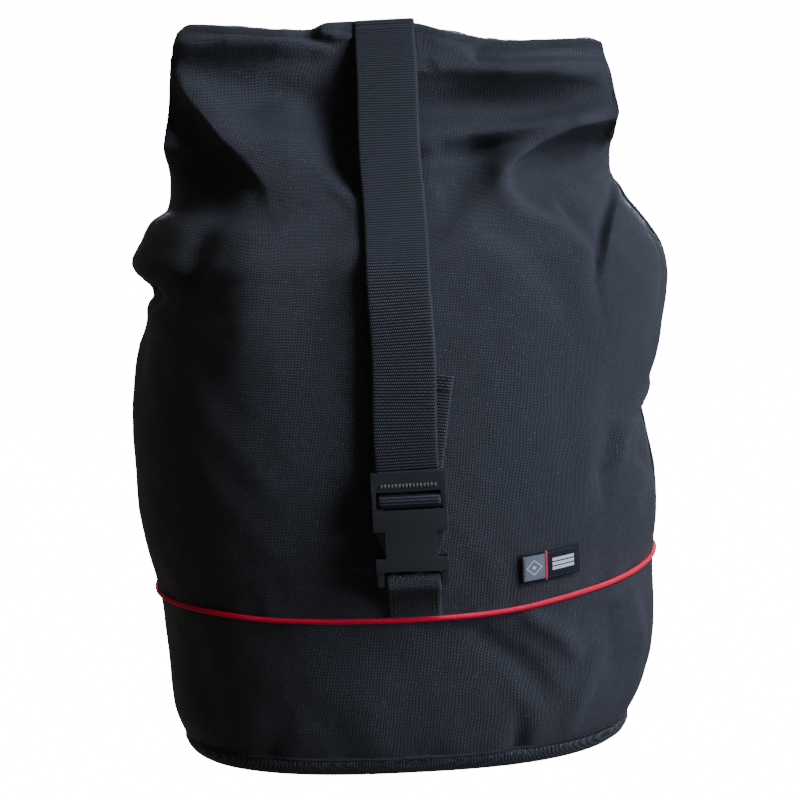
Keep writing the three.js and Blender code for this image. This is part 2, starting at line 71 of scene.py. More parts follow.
# The top crease of the mouth, from the left corner to the right one: x and z.
CREASE = [
    (-0.176, 0.600), (-0.171, 0.611), (-0.160, 0.6165), (-0.120, 0.6125), (-0.080, 0.6080),
    (-0.060, 0.6075), (-0.044, 0.6120), (-0.026, 0.6125), (0.004, 0.6100), (0.028, 0.6085),
    (0.050, 0.6020), (0.080, 0.5945), (0.105, 0.5905), (0.150, 0.5895), (0.176, 0.5885), (0.186, 0.584),
]
CREASE_Z = 0.6100
NECK_Z = 0.505
MOUTH_Z = 0.602
SIDE_SHARE = 0.4
SQUARENESS = 2.5
FABRIC = 0.0018
# Where the front cloth meets the back cloth: degrees from the right side, towards the back.
RIGHT_SEAM = 1
LEFT_SEAM = 172
BASE_SEAM_Z = 0.016
PIPING_Z = 0.134
PIPING_RISE = {"left": 0.010, "right": 0.022, "reach": 0.206, "spread": 0.085}
YOKE_Z = 0.446
# How far the neck can be pushed back at each height before it meets the roll behind it.
NECK_ROOM = [
    (0.440, 0.020), (0.500, 0.018), (0.518, 0.018), (0.550, 0.015), (0.566, 0.0085), (0.580, 0.0045),
    (0.592, 0.0015), (0.602, 0.0005),
]
# The strap spans the neck in one line from the shoulder to the crease: height, y.
STRAP_SPAN = [
    (0.4306, -0.1252), (0.445, -0.1152), (0.463, -0.1045), (0.482, -0.0950), (0.502, -0.0850),
    (0.520, -0.0762), (0.540, -0.0668), (0.559, -0.0578), (0.576, -0.0490), (0.590, -0.0392),
    (0.600, -0.0322), (0.6055, -0.0296),
]
STRAP_X = 0.003
# The direction of a webbing's width, where it lies level from side to side.
ACROSS = (1, 0, 0)
WEBBING = 0.0016
STRAP_WIDTH = 0.050
ROLL = {"y": -0.002, "z": 0.5655, "depth": 0.0235, "height": 0.046, "pitch": 0.0046, "turns": 2.5}
BUCKLE = Vector((STRAP_X, -0.158, 0.1665))
TAIL_SLANT = 0.17

# Camera of the front view.
EYE = (0.0, -1.36, 0.45)
PITCH = 6.6
ROLL_ANGLE = 3.0
LENS = 71.3

# Light: the dim room, the white backdrop and paper, and the window at the right.
ROOM_LIGHT = 0.18
BACKDROP_LIGHT = 16.0
WINDOW_POWER = 142
LOW_POWER = 5.0
BEHIND_POWER = 80
DAYLIGHT = (0.68, 0.775, 1.0)

# The back pad, and the heights and places across of its sewn channels.
PAD = {"low": 0.141, "high": 0.430, "angle": 42, "proud": 0.0125, "clearance": 0.0026}
PAD_CHANNELS = [0.205, 0.286, 0.367]
PAD_COLUMNS = (-0.046, 0.052)
CHANNEL_WIDTH = 0.0042
CHANNEL_DEPTH = 0.0042
# The narrow webbing of the harness, its ladder locks (x) and its corner wings (degrees from the side).
NARROW_WIDTH = 0.024
LOCK_X = 0.1194
WING_ANGLE = 28
# Edges of the cloth that are sharper than this stay crisp.
CLOTH_CREASE = math.radians(58)


# ---- Small helpers ---------------------------------------------------------------------------

def monotone(rows, at, column=1):
    """Smooth value through the given rows, without overshoot; it holds its end values outside them."""
    xs = np.array([row[0] for row in rows])
    ys = np.array([row[column] for row in rows])
    slopes = np.diff(ys) / np.diff(xs)
    before = np.concatenate([slopes[:1], slopes])
    after = np.concatenate([slopes, slopes[-1:]])
    total = np.where(before + after == 0, 1, before + after)
    tangents = np.where(before * after > 0, 2 * before * after / total, 0)
    at = np.clip(np.asarray(at, float), xs[0], xs[-1])
    i = np.clip(np.searchsorted(xs, at, side="right") - 1, 0, len(xs) - 2)
    span = xs[i + 1] - xs[i]
    s = (at - xs[i]) / span
    rise = (2 * s**3 - 3 * s**2 + 1) * ys[i] + (3 * s**2 - 2 * s**3) * ys[i + 1]
    return rise + (s**3 - 2 * s**2 + s) * span * tangents[i] + (s**3 - s**2) * span * tangents[i + 1]


def smoothstep(low, high, value):
    s = np.clip((np.asarray(value, float) - low) / (high - low), 0, 1)
    return s * s * (3 - 2 * s)


def bell(distance, width):
    return np.exp(-((np.asarray(distance, float) / width) ** 2))


def unit(vectors):
    """The same directions, one unit long."""
    return vectors / np.maximum(np.linalg.norm(vectors, axis=-1, keepdims=True), 1e-12)


def signed_power(value, power):
    return np.sign(value) * np.abs(value) ** power


def square_to(along, wide):
    """The unit part of wide that is square to the unit directions along."""
    return unit(wide - along * (wide * along).sum(-1, keepdims=True))


def spline(points, count):
    """Evenly spaced points on a smooth curve through given points."""
    points = np.asarray(points, float)
    ends = np.concatenate([[2 * points[0] - points[1]], points, [2 * points[-1] - points[-2]]])
    fine = []
    for a, b, c, d in zip(ends[:-3], ends[1:-2], ends[2:-1], ends[3:]):
        for t in np.linspace(0, 1, 24, endpoint=False):
            fine.append(0.5 * (2 * b + (c - a) * t + (2 * a - 5 * b + 4 * c - d) * t**2
                               + (3 * b - a - 3 * c + d) * t**3))
    fine = np.array(fine + [points[-1]])
    run = np.concatenate([[0], np.cumsum(np.linalg.norm(np.diff(fine, axis=0), axis=1))])
    wanted = np.linspace(0, run[-1], count)
    return np.stack([np.interp(wanted, run, fine[:, k]) for k in range(fine.shape[1])], axis=1)


def run_length(points):
    """Distance travelled along a line of points."""
    steps = np.linalg.norm(np.diff(points, axis=0), axis=1)
    return np.concatenate([[0], np.cumsum(steps)])


def ripple(x, y, seed, octaves=3):
    """Smooth, repeatable unevenness between about -1 and 1, made of a few crossed waves."""
    rng = np.random.RandomState(seed)
    total = np.zeros(np.broadcast(x, y).shape)
    for octave in range(octaves):
        for _ in range(4):
            heading = rng.uniform(0, 2 * math.pi)
            phase = rng.uniform(0, 2 * math.pi)
            pace = 2.0**octave * rng.uniform(0.7, 1.4)
            along = x * math.cos(heading) + y * math.sin(heading)
            total += np.sin(2 * math.pi * pace * along + phase) / (4 * 1.7**octave)
    return total


# ---- The tube's surface ----------------------------------------------------------------------

def rise_of(x, z):
    """The piping seam climbs towards both sides, and the cloth near it climbs with it."""
    most = np.where(x > 0, PIPING_RISE["right"], PIPING_RISE["left"])
    share = np.minimum(np.abs(x) / PIPING_RISE["reach"], 1.1) ** 2
    return most * share * bell(z - PIPING_Z, PIPING_RISE["spread"])


def lift_of(x, z):
    """The flattened neck stretches up to the uneven top crease."""
    return (monotone(CREASE, x) - CREASE_Z) * smoothstep(NECK_Z, MOUTH_Z, z)


def corner_pull(x, z):
    """How far the two top corners are drawn in towards the middle, which rounds them."""
    inward = np.where(x > 0, -0.004 * smoothstep(0.14, 0.18, x), 0.004 * smoothstep(0.14, 0.175, -x))
    return inward * smoothstep(0.575, 0.612, z)


def reach_of(x, z):
    """How far the tube reaches at this height on the side where x lies."""
    return np.where(np.asarray(x) > 0, monotone(RIGHT_REACH, z), monotone(LEFT_REACH, z))


def tube(angle, z, inset=0.0):
    """Points of the sewn tube: angle 0 is the right side, -90 the front and 90 the back."""
    angle, z = np.broadcast_arrays(np.asarray(angle, float), np.asarray(z, float))
    front = monotone(DEPTHS, z, 1)
    back = monotone(DEPTHS, z, 2)
    middle = back - SIDE_SHARE * (back - front)
    c = np.cos(np.radians(angle))
    s = np.sin(np.radians(angle))
    half = reach_of(c, z) - inset
    reach = np.where(s > 0, back - middle, middle - front)
    depth = np.maximum(reach - inset, 0.3 * reach)
    x = half * signed_power(c, 2 / SQUARENESS)
    y = middle + depth * signed_power(s, 2 / SQUARENESS)
    height = z + rise_of(x, z) + lift_of(x, z)
    return np.stack([x + corner_pull(x, height), y, height], axis=-1)


def front_angle(x, z):
    """The tube angle of the front point that lies at this x."""
    share = np.clip(np.abs(x) / reach_of(x, z), 0, 0.999) ** (SQUARENESS / 2)
    return -np.degrees(np.arccos(share * np.sign(x)))


def flat_height(x, z):
    """The height on the plain tube whose point ends up at height z, after the rise and the lift."""
    plain = np.array(z, float)
    for _ in range(6):
        plain = z - rise_of(x, plain) - lift_of(x, plain)
    return plain


def on_front(points):
    """Points of the front from their x and z in millimetres."""
    x, z = np.array(points).T / 1000
    plain = flat_height(x, z)
    return tube(front_angle(x, plain), plain)


def on_side(points):
    """Points of the tube from their angles and their heights in millimetres."""
    angle, z = np.array(points).T
    return tube(angle, z / 1000)


def grid_normals(points, closed=False):
    """Outward unit normals of a grid of points, whose first index goes round and second goes up."""
    if closed:
        padded = np.concatenate([points[-1:], points, points[:1]])
        around = padded[2:] - padded[:-2]
    else:
        around = np.gradient(points, axis=0)
    upward = np.gradient(points, axis=1)
    return unit(np.cross(around, upward))


# ---- Folds -----------------------------------------------------------------------------------

class Fold:
    """A ridge (height above 0) or a valley (below 0) that runs along a line on the tube.

    heights are its heights along the way. widths and the two cross heights are for the right-hand
    and the left-hand side of the way, seen from outside.
    """

    def __init__(self, line, heights, widths, left=1.0, right=1.0):
        self.line = spline(line, 70)
        self.heights = np.interp(np.linspace(0, 1, 70), np.linspace(0, 1, len(heights)), heights)
        self.widths = widths if hasattr(widths, "__len__") else (widths, widths)
        self.shares = (right, left)

    def offset(self, points, normals):
        reach = 3.2 * max(self.widths)
        low, high = self.line.min(0) - reach, self.line.max(0) + reach
        near = np.all((points > low) & (points < high), axis=-1)
        result = np.zeros(points.shape[:-1])
        p = points[near]
        if not len(p):
            return result
        gaps = ((p[:, None, :] - self.line[None, :, :]) ** 2).sum(-1)
        i = gaps.argmin(1)
        along = unit(np.gradient(self.line, axis=0))
        away = p - self.line[i]
        away -= along[i] * (away * along[i]).sum(1, keepdims=True) * ((i > 0) & (i < 69))[:, None]
        distance = np.linalg.norm(away, axis=1)
        handed = (away * np.cross(along[i], normals[near])).sum(1)
        rightness = smoothstep(-0.0035, 0.0035, handed)
        width = self.widths[1] + (self.widths[0] - self.widths[1]) * rightness
        share = self.shares[1] + (self.shares[0] - self.shares[1]) * rightness
        result[near] = self.heights[i] * share * np.exp(-((distance / width) ** 2))
        return result


def fold(line, heights, widths, left=1.0, right=1.0):
    """A fold whose heights and widths are given in millimetres, to read them easily."""
    widths = [w / 1000 for w in widths] if hasattr(widths, "__len__") else widths / 1000
    return Fold(line, [h / 1000 for h in heights], widths, left, right)


def neck_folds():
    """The creases of the gathered neck, as they are seen from the front: x and z in millimetres."""
    right = [
        # the bulge of the roll, the dark slope and hollow under it, and the second bulge
        ([(-20, 574), (20, 573), (60, 569), (100, 565), (140, 563), (180, 559)], [4, 8, 16, 23, 22, 14], 12),
        ([(-20, 541), (20, 541), (78, 539), (135, 533), (168, 528), (192, 524.5)],
         [-3, -8, -10, -9, -8, -5], (11, 10)),
        ([(-20, 514), (20, 514), (75, 515), (124, 518.5), (160, 521.5), (178, 524)],
         [2, 6, 7, 6, 5, 2], (9, 7)),
        ([(-10, 494), (22, 494), (75, 500), (110, 508), (145, 516.5)], [-2, -5, -7, -6, -4], (8, 7)),
        # the hooked ridge, steep on its inner side, and its shadowed inner hollow
        ([(190, 522.5), (160, 516.5), (140, 510.5), (117, 501), (98, 488), (92, 474),
          (98, 460), (112, 446), (130, 434)], [6, 11, 15, 16, 15, 13, 9, 4, 0], (14, 5.5)),
        ([(180, 508), (154, 499), (130, 486), (117, 472)], [-14, -14, -11, -3], (8, 17)),
        ([(182, 509), (174, 498), (166, 486)], [-5, -10, -2], (6, 7)),
        ([(172, 470), (156, 458), (136, 452)], [3, 5, 2], 11),
        # the hollow that runs down beside the strap, and the plump cloth beside it
        ([(72, 498), (52, 470), (32, 440), (28, 420)], [-8, -9, -5, 0], (12, 15)),
        ([(34, 500), (33, 470), (46, 415)], [3, 2, 0], 9),
        # the pit and the short crease below the top edge
        ([(78, 577.5), (92, 580.5), (112, 583), (150, 585)], [-9, -10, -7, -3], (4, 5)),
        ([(36, 592), (56, 588), (70, 584)], [5, 6, 3], 8),
    ]
    left = [
        # the light band at the top, the dark slope under it and its valley
        ([(-166, 600), (-120, 600), (-80, 597), (-44, 594)], [9, 17, 17, 7], 12),
        ([(-168, 583), (-146, 575), (-121, 567), (-81, 556), (-52, 548)],
         [-5, -10, -11, -11, -10], (14, 12)),
        # the broad lit slope that ends in a crisp edge, from the corner down towards the middle
        ([(-170, 573), (-152, 548), (-131, 521), (-110, 497), (-98, 482), (-94, 464)],
         [4, 10, 14, 13, 8, 1], (9, 26)),
        ([(-84, 528), (-74, 504), (-60, 480)], [5, 6, 2], 20),
        ([(-178, 546), (-156, 512), (-138, 480), (-146, 450)], [-6, -11, -12, -4], (24, 14)),
        # the dark hollow beside the strap
        ([(-26, 588), (-34, 562), (-38, 532), (-34, 502), (-26, 476)], [-5, -14, -18, -15, -4], (20, 17)),
        # the knuckle beside the strap and its crease, and the small ridge under the hollow
        ([(-46, 603), (-28, 603)], [6, 8], 8),
        ([(-70, 603), (-52, 597), (-28, 589)], [-6, -7, -6], (4, 5)),
        ([(-56, 494), (-40, 476), (-24, 461)], [2, 5, 5], 8),
        ([(-178, 588), (-171, 562), (-173, 530)], [-3, -4, -2], 5),
    ]
    return [fold(np.array([(x, 0, z) for x, z in line]) / 1000, *rest) for line, *rest in right + left]


def neck_relief(points, angles, heights):
    """How far the gathered cloth of the neck stands forward of the plain tube, in both layers."""
    x = points[..., 0]
    forward = np.broadcast_to([0.0, -1.0, 0.0], points.shape)
    relief = sum(each.offset(points * [1, 0, 1], forward) for each in neck_folds())
    room = monotone(NECK_ROOM, heights)[None, :]
    relief = np.where(relief < 0, -room * np.tanh(-relief / room), relief)
    under = smoothstep(0.044, 0.027, np.abs(x - STRAP_X))
    gap = monotone(DEPTHS, heights) - monotone(STRAP_SPAN, heights)
    gap = np.where(heights > STRAP_SPAN[0][0], gap, FABRIC)
    pressed = np.minimum(relief, (gap - FABRIC)[None, :])
    relief = relief * (1 - under) + pressed * under
    behind = smoothstep(0.0, 0.25, np.sin(np.radians(angles)))[:, None]
    relief = relief * (1 - behind * smoothstep(0.520, 0.508, heights)[None, :])
    return np.where(relief > 0, relief * (1 - 0.6 * behind), relief)


def body_folds():
    """The soft folds of the filled body below the neck, by x and z or by angle and height."""
    front = [
        # the shoulders, where the neck's gathers open out
        ([(-198, 452), (-160, 446), (-120, 440), (-70, 444)], [5, 5, 4, 1], 16),
        ([(-214, 401), (-196, 394), (-172, 398), (-146, 412)], [-8, -8, -5, 0], (8, 8)),
        ([(-214, 385), (-194, 376), (-176, 362)], [5, 4, 0], 9),
        ([(-150, 436), (-160, 410), (-172, 380)], [-4, -5, 0], 12),
        ([(-110, 430), (-120, 380), (-110, 320)], [3, 3, 0], 22),
        ([(-50, 440), (-62, 380), (-60, 320)], [-3, -3, 0], 22),
        ([(60, 430), (90, 400), (110, 350)], [3, 3, 0], 20),
        ([(100, 452), (130, 436), (156, 412), (160, 388)], [2, 4, 3, 0], (10, 8)),
        ([(140, 452), (152, 436), (164, 420)], [-4, -4, 0], 8),
        ([(110, 420), (130, 380), (140, 330)], [-3, -3, 0], 16),
        # the right side below its notch
        ([(204, 300), (192, 288), (178, 266), (176, 246)], [4, 8, 8, 3], (9, 7)),
        ([(166, 264), (160, 240), (162, 214)], [-4, -8, -2], 10),
        ([(204, 275), (200, 252), (190, 225)], [-5, -5, 0], 8),
        ([(196, 228), (186, 205), (176, 190)], [3, 4, 0], 10),
        ([(150, 300), (150, 250), (140, 205)], [2, 2.5, 0], 16),
        ([(190, 186), (165, 168), (130, 166)], [-2, -3, 0], 9),
    ]
    folds = [fold(on_front(line), *rest) for line, *rest in front]
    # The front cloth is drawn in along its hanging edge at the right shoulder, beside the side panel.
    edge = [(197, 478), (190, 462), (177, 438), (168, 412), (164, 392), (165, 374)]
    folds.append(fold(on_front(edge), [-2, -5, -8, -9, -8, -1], (11, 26), left=-0.15, right=1.0))
    sides = [
        ([(-12, 425), (-18, 380), (-26, 345)], [-3, -4, 0], 12),
        ([(-168, 430), (-166, 380), (-160, 330)], [-4, -4, 0], 14),
        ([(-174, 350), (-166, 300), (-158, 260)], [3, 3, 0], 14),
        ([(-10, 220), (-22, 200), (-36, 190)], [-3, -3, 0], 11),
    ]
    return folds + [fold(on_side(line), *rest) for line, *rest in sides]


def back_folds():
    """Gathers of the upper back, which run from the yoke to the neck, and soft folds beside the pad."""
    rng = np.random.RandomState(7)
    lines = []
    for angle in (38, 52, 64, 79, 101, 117, 130, 143):
        bend = rng.uniform(-5, 5)
        height = rng.choice([-1, 1]) * rng.uniform(2.0, 3.4)
        line = [(angle, 462), (angle + bend, 484), (angle + bend * 1.6, 499), (angle + bend, 506)]
        lines.append((line, [0.6 * height, height, height, 0.5 * height], rng.uniform(6, 9)))
    lines += [
        ([(30, 430), (26, 370), (30, 300)], [-3, -4, 0], 14),
        ([(150, 430), (154, 370), (150, 310)], [3, 4, 0], 14),
        ([(24, 230), (30, 190), (42, 165)], [-3, -4, -1], 12),
        ([(156, 240), (150, 190), (138, 165)], [-3, -4, -1], 12),
    ]
    return [fold(on_side(line), *rest) for line, *rest in lines]


def band_folds():
    """Folds of the lower band, and the pinch in the base seam."""
    front = [
        ([(96, 128), (122, 108), (136, 82)], [3.5, 4.5, 0], 9),
        ([(56, 116), (92, 82), (112, 46)], [-3.5, -4.5, -1], 11),
        ([(150, 86), (136, 56), (124, 28)], [1, 3.5, 2], 9),
        ([(160, 118), (166, 80), (156, 50)], [-3, -3.5, 0], 12),
        ([(83, 44), (81, 20)], [-2, -5], 8),
        ([(182, 128), (190, 90), (184, 50)], [3, 4.5, 1], 10),
        ([(-180, 110), (-176, 70), (-160, 36)], [-2, -3, -1], 14),
        ([(-110, 50), (-120, 22)], [-1, -3], 12),
        ([(-40, 60), (-30, 22)], [1.5, 2], 16),
        ([(-80, 124), (-90, 80)], [2, 0], 18),
    ]
    return [fold(on_front(line), *rest) for line, *rest in front]


def puckers(x, z):
    """Small upright gathers where the cloth is eased into the piping seam."""
    near = np.exp(-np.maximum(z - PIPING_Z, 0) / 0.016) * np.exp(-np.maximum(PIPING_Z - z, 0) / 0.008)
    return 0.0011 * near * ripple(x / 0.034, np.zeros_like(x), seed=3, octaves=2)


def slack(points, seed):
    """Low, wide unevenness of cloth that hangs over a soft load."""
    u = np.arctan2(points[..., 1] - 0.01, points[..., 0]) * 0.2
    v = points[..., 2]
    return 0.0012 * ripple(u / 0.17, v / 0.17, seed) + 0.00025 * ripple(u / 0.05, v / 0.05, seed + 1)


def folded(points, folds, seed, closed=False):
    """Moves a grid of points in and out by the folds, and keeps it behind the strap in the middle."""
    normals = grid_normals(points, closed)
    x, z = points[..., 0], points[..., 2]
    offset = slack(points, seed) + puckers(x, z - rise_of(x, z))
    for each in folds:
        offset = offset + each.offset(points, normals)
    calm = smoothstep(0.505, 0.480, z - lift_of(x, z))
    offset = offset * (0.35 + 0.65 * calm) * smoothstep(MOUTH_Z, MOUTH_Z - 0.012, z - lift_of(x, z))
    is_front = points[..., 1] < 0
    beside = np.abs(x - STRAP_X)
    under = smoothstep(0.034, 0.024, beside) * smoothstep(0.40, 0.43, z) * is_front
    offset = offset * (1 - under) + np.minimum(offset, -0.0004) * under
    return points + normals * offset[..., None], offset


def gathered(angles, heights, folds, seed):
    """The folded grid of a cloth that reaches up into the neck, and how far each spot stands proud."""
    plain = tube_grid(angles, heights)
    points, offset = folded(plain, folds, seed)
    relief = neck_relief(plain, angles, heights)
    points[..., 1] -= relief
    return points, offset + relief


# ---- Meshes ----------------------------------------------------------------------------------

def added(name, data):
    """A new object, linked into the scene."""
    obj = bpy.data.objects.new(name, data)
    bpy.context.scene.collection.objects.link(obj)
    return obj


def set_smooth(mesh, smooth=True):
    mesh.polygons.foreach_set("use_smooth", [smooth] * len(mesh.polygons))


def make_object(name, points, faces, material, weave=None, wear_and_highlight=None):
    """A smooth-shaded object; weave holds the cloth's own coordinates, and the last layer how much a spot is
    lightened, partly by abrasion and partly as painted highlight.
    """
    mesh = bpy.data.meshes.new(name)
    mesh.from_pydata([tuple(p) for p in np.asarray(points, float).reshape(-1, 3).tolist()], [], faces)
    set_smooth(mesh)
    count = len(mesh.vertices)
    if weave is not None:
        cloth_at = np.zeros((count, 3), np.float32)
        cloth_at[:, :2] = np.asarray(weave).reshape(-1, 2)
        mesh.attributes.new("weave", "FLOAT_VECTOR", "POINT").data.foreach_set("vector", cloth_at.ravel())
    wear_and_highlight_share = np.zeros(count, np.float32) if wear_and_highlight is None else np.asarray(wear_and_highlight, np.float32).ravel()
    mesh.attributes.new("wear_and_highlight", "FLOAT", "POINT").data.foreach_set("value", wear_and_highlight_share)
    mesh.validate()
    mesh.materials.append(material)
    return added(name, mesh)


def grid_faces(columns, rows, start=0, closed=False, flipped=False):
    """Quads of a grid of columns by rows, numbered column by column."""
    faces = []
    for i in range(columns if closed else columns - 1):
        near = start + i * rows
        far = start + (i + 1) % columns * rows
        for k in range(rows - 1):
            quad = (near + k, far + k, far + k + 1, near + k + 1)
            faces.append(quad[::-1] if flipped else quad)
    return faces


def rim_faces(columns, rows, closed):
    """Quads that join the edges of an outer grid to those of the inner grid numbered after it."""
    size = columns * rows
    faces = []
    for i in range(columns if closed else columns - 1):
        low, next_low = i * rows, (i + 1) % columns * rows
        top, next_top = low + rows - 1, next_low + rows - 1
        faces.append((next_low, low, low + size, next_low + size))
        faces.append((top, next_top, next_top + size, top + size))
    if not closed:
        last = (columns - 1) * rows
        for k in range(rows - 1):
            faces.append((k, k + 1, k + 1 + size, k + size))
            faces.append((last + k + 1, last + k, last + k + size, last + k + 1 + size))
    return faces


def loop_faces(count, size, start=0, closed=False):
    """Quads between neighbouring loops of points, numbered loop by loop."""
    faces = []
    for k in range(count if closed else count - 1):
        a, b = start + k * size, start + (k + 1) % count * size
        faces += [(a + i, a + (i + 1) % size, b + (i + 1) % size, b + i) for i in range(size)]
    return faces


def cloth_coordinates(points, middle):
    """Distances over the cloth, across from its middle column and up from its lowest row."""
    steps = np.linalg.norm(np.diff(points, axis=0), axis=-1)
    across = np.concatenate([np.zeros((1, points.shape[1])), np.cumsum(steps, axis=0)])
    across -= across[middle]
    upward = np.broadcast_to(run_length(points[middle]), across.shape)
    return np.stack([across, upward], axis=-1)


def rubbed_and_highlit(offset, full=0.009):
    """How much the cloth is lightened: most where it stands proudest, partly abrasion of the ridges and
    partly painted highlight where the folds catch the light.
    """
    return np.clip(offset / full, 0, 1)


def sandwich(name, outer, inner, material, weave=None, wear_and_highlight=None, closed=False):
    """A closed solid between two grids of points, with the same weave and the same lightening, part abrasion
    and part painted highlight, on both its faces.
    """
    columns, rows = outer.shape[:2]
    faces = grid_faces(columns, rows, 0, closed)
    faces += grid_faces(columns, rows, columns * rows, closed, flipped=True)
    faces += rim_faces(columns, rows, closed)
    layers = [None if given is None else np.concatenate([given, given]) for given in (weave, wear_and_highlight)]
    return make_object(name, np.concatenate([outer, inner]), faces, material, *layers)


def panel(name, points, material, middle, thickness=FABRIC, closed=False, wear_and_highlight=None):
    """A closed solid of cloth from the grid of its outer face."""
    inner = points - grid_normals(points, closed) * thickness
    obj = sandwich(name, points, inner, material, cloth_coordinates(points, middle), wear_and_highlight, closed)
    obj.data.set_sharp_from_angle(angle=CLOTH_CREASE)
    return obj


def loops_object(name, loops, material, weave, closed=False):
    """A closed solid skinned over equal loops of points; open ends are filled with strips."""
    count, size = loops.shape[:2]
    faces = loop_faces(count, size, closed=closed)
    if not closed:
        last = (count - 1) * size
        for i in range(size // 2 - 1):
            near, far = i + 1, size - 1 - i
            faces.append((i, far, far - 1, near))
            faces.append((last + near, last + far - 1, last + far, last + i))
        faces = [f for f in faces if len(set(f)) == 4]
    obj = make_object(name, loops, faces, material, weave)
    mend(obj.data)
    return obj


def mend(mesh):
    """Turns all faces outwards."""
    work = bmesh.new()
    work.from_mesh(mesh)
    bmesh.ops.recalc_face_normals(work, faces=work.faces)
    work.to_mesh(mesh)
    work.free()


def ribbon(name, line, wide, width, thickness, material, across=14):
    """Flat webbing along a line of points, with rounded edges; wide is its width direction."""
    line = np.asarray(line, float)
    along = unit(np.gradient(line, axis=0))
    wide = square_to(along, np.broadcast_to(np.asarray(wide, float), line.shape))
    thick = np.cross(along, wide)
    even = np.linspace(-1, 1, across + 1)
    places = np.sin(even * math.pi / 2) * 0.25 + even * 0.75
    depths = thickness / 2 * (1 - np.abs(places) ** 18) ** 0.3
    u = np.concatenate([places, places[-2:0:-1]])
    d = np.concatenate([depths, -depths[-2:0:-1]])
    loops = line[:, None] + wide[:, None] * (u[:, None] * width / 2) + thick[:, None] * d[:, None]
    weave = np.stack(np.broadcast_arrays(u[None, :] * width / 2, run_length(line)[:, None]), axis=-1)
    return loops_object(name, loops, material, weave)


def rope(name, path, radius, material, sides=12, closed=False):
    """A round cord along a path of points."""
    path = np.asarray(path, float)
    if closed:
        along = np.roll(path, -1, axis=0) - np.roll(path, 1, axis=0)
    else:
        along = np.gradient(path, axis=0)
    along = unit(along)
    outward = path * [1, 1, 0] + [0, 0, 1e-6]
    side = unit(np.cross(along, outward))
    out = np.cross(side, along)
    turn = np.linspace(0, 2 * math.pi, sides, endpoint=False)
    ring = out[:, None] * np.cos(turn)[None, :, None] + side[:, None] * np.sin(turn)[None, :, None]
    loops = path[:, None] + radius * ring
    weave = np.stack(np.broadcast_arrays(radius * turn[None, :], run_length(path)[:, None]), axis=-1)
    return loops_object(name, loops, material, weave, closed)


def stitches(name, rows, material, body, slot, length=0.0034, gap=0.0014, radius=0.00034):
    """Rows of thread: each row is (points, normals), and each stitch a small capsule on the cloth."""
    shares = np.array([0.0, 0.12, 0.5, 0.88, 1.0])
    girths = np.array([0.25, 0.85, 1.0, 0.85, 0.25])
    heights = np.array([-0.9, 0.1, 0.6, 0.1, -0.9])
    turn = np.linspace(0, 2 * math.pi, 6, endpoint=False)
    points, faces = [], []
    for line, normals in rows:
        run = run_length(line)
        for start in np.arange(gap / 2, run[-1] - length, length + gap):
            places = start + shares * length
            core = np.stack([np.interp(places, run, line[:, k]) for k in range(3)], axis=1)
            up = unit(np.array([np.interp(start, run, normals[:, k]) for k in range(3)]))
            side = np.cross(unit(core[-1] - core[0]), up)
            core = core + up * (0.0002 + heights[:, None] * radius)
            ring = (side[None, :] * np.cos(turn)[:, None] + up[None, :] * np.sin(turn)[:, None]) * radius
            first = len(points)
            points.extend((core[:, None] + girths[:, None, None] * ring[None]).reshape(-1, 3).tolist())
            faces += loop_faces(5, 6, first)
            faces.append(tuple(first + i for i in reversed(range(6))))
            faces.append(tuple(first + 24 + i for i in range(6)))
    obj = make_object(name, np.array(points), faces, material)
    mend(obj.data)
    return place(obj, body, slot)


def place(obj, body, slot, *nodes):
    """Rides a finished piece on its body and hides the CAD nodes it stands for; the material slot is not
    used.
    """
    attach(obj, body)
    return finish_piece(obj, slot, *nodes)


def finish_piece(obj, slot, *nodes):
    if nodes:
        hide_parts(*nodes)
    return obj


def softened(node, material, radius, body):
    """A moulded piece with rounded edges, made from the exact CAD solid that it replaces."""
    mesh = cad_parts[node].data.copy()
    obj = added(node + "_moulded", mesh)
    work = bmesh.new()
    work.from_mesh(mesh)
    bmesh.ops.remove_doubles(work, verts=work.verts, dist=1e-6)
    bmesh.ops.dissolve_limit(work, angle_limit=math.radians(2), verts=work.verts, edges=work.edges)
    sharp = [e for e in work.edges if e.is_manifold and e.calc_face_angle(0) > math.radians(25)]
    bmesh.ops.bevel(work, geom=sharp, offset=radius, segments=3, profile=0.6, affect="EDGES",
                    clamp_overlap=True)
    bmesh.ops.recalc_face_normals(work, faces=work.faces)
    work.to_mesh(mesh)
    work.free()
    mesh.materials.clear()
    mesh.materials.append(material)
    set_smooth(mesh)
    mesh.set_sharp_from_angle(angle=math.radians(32))
    return place(obj, body, "buckle_plastic", node)


# ---- Materials -------------------------------------------------------------------------------

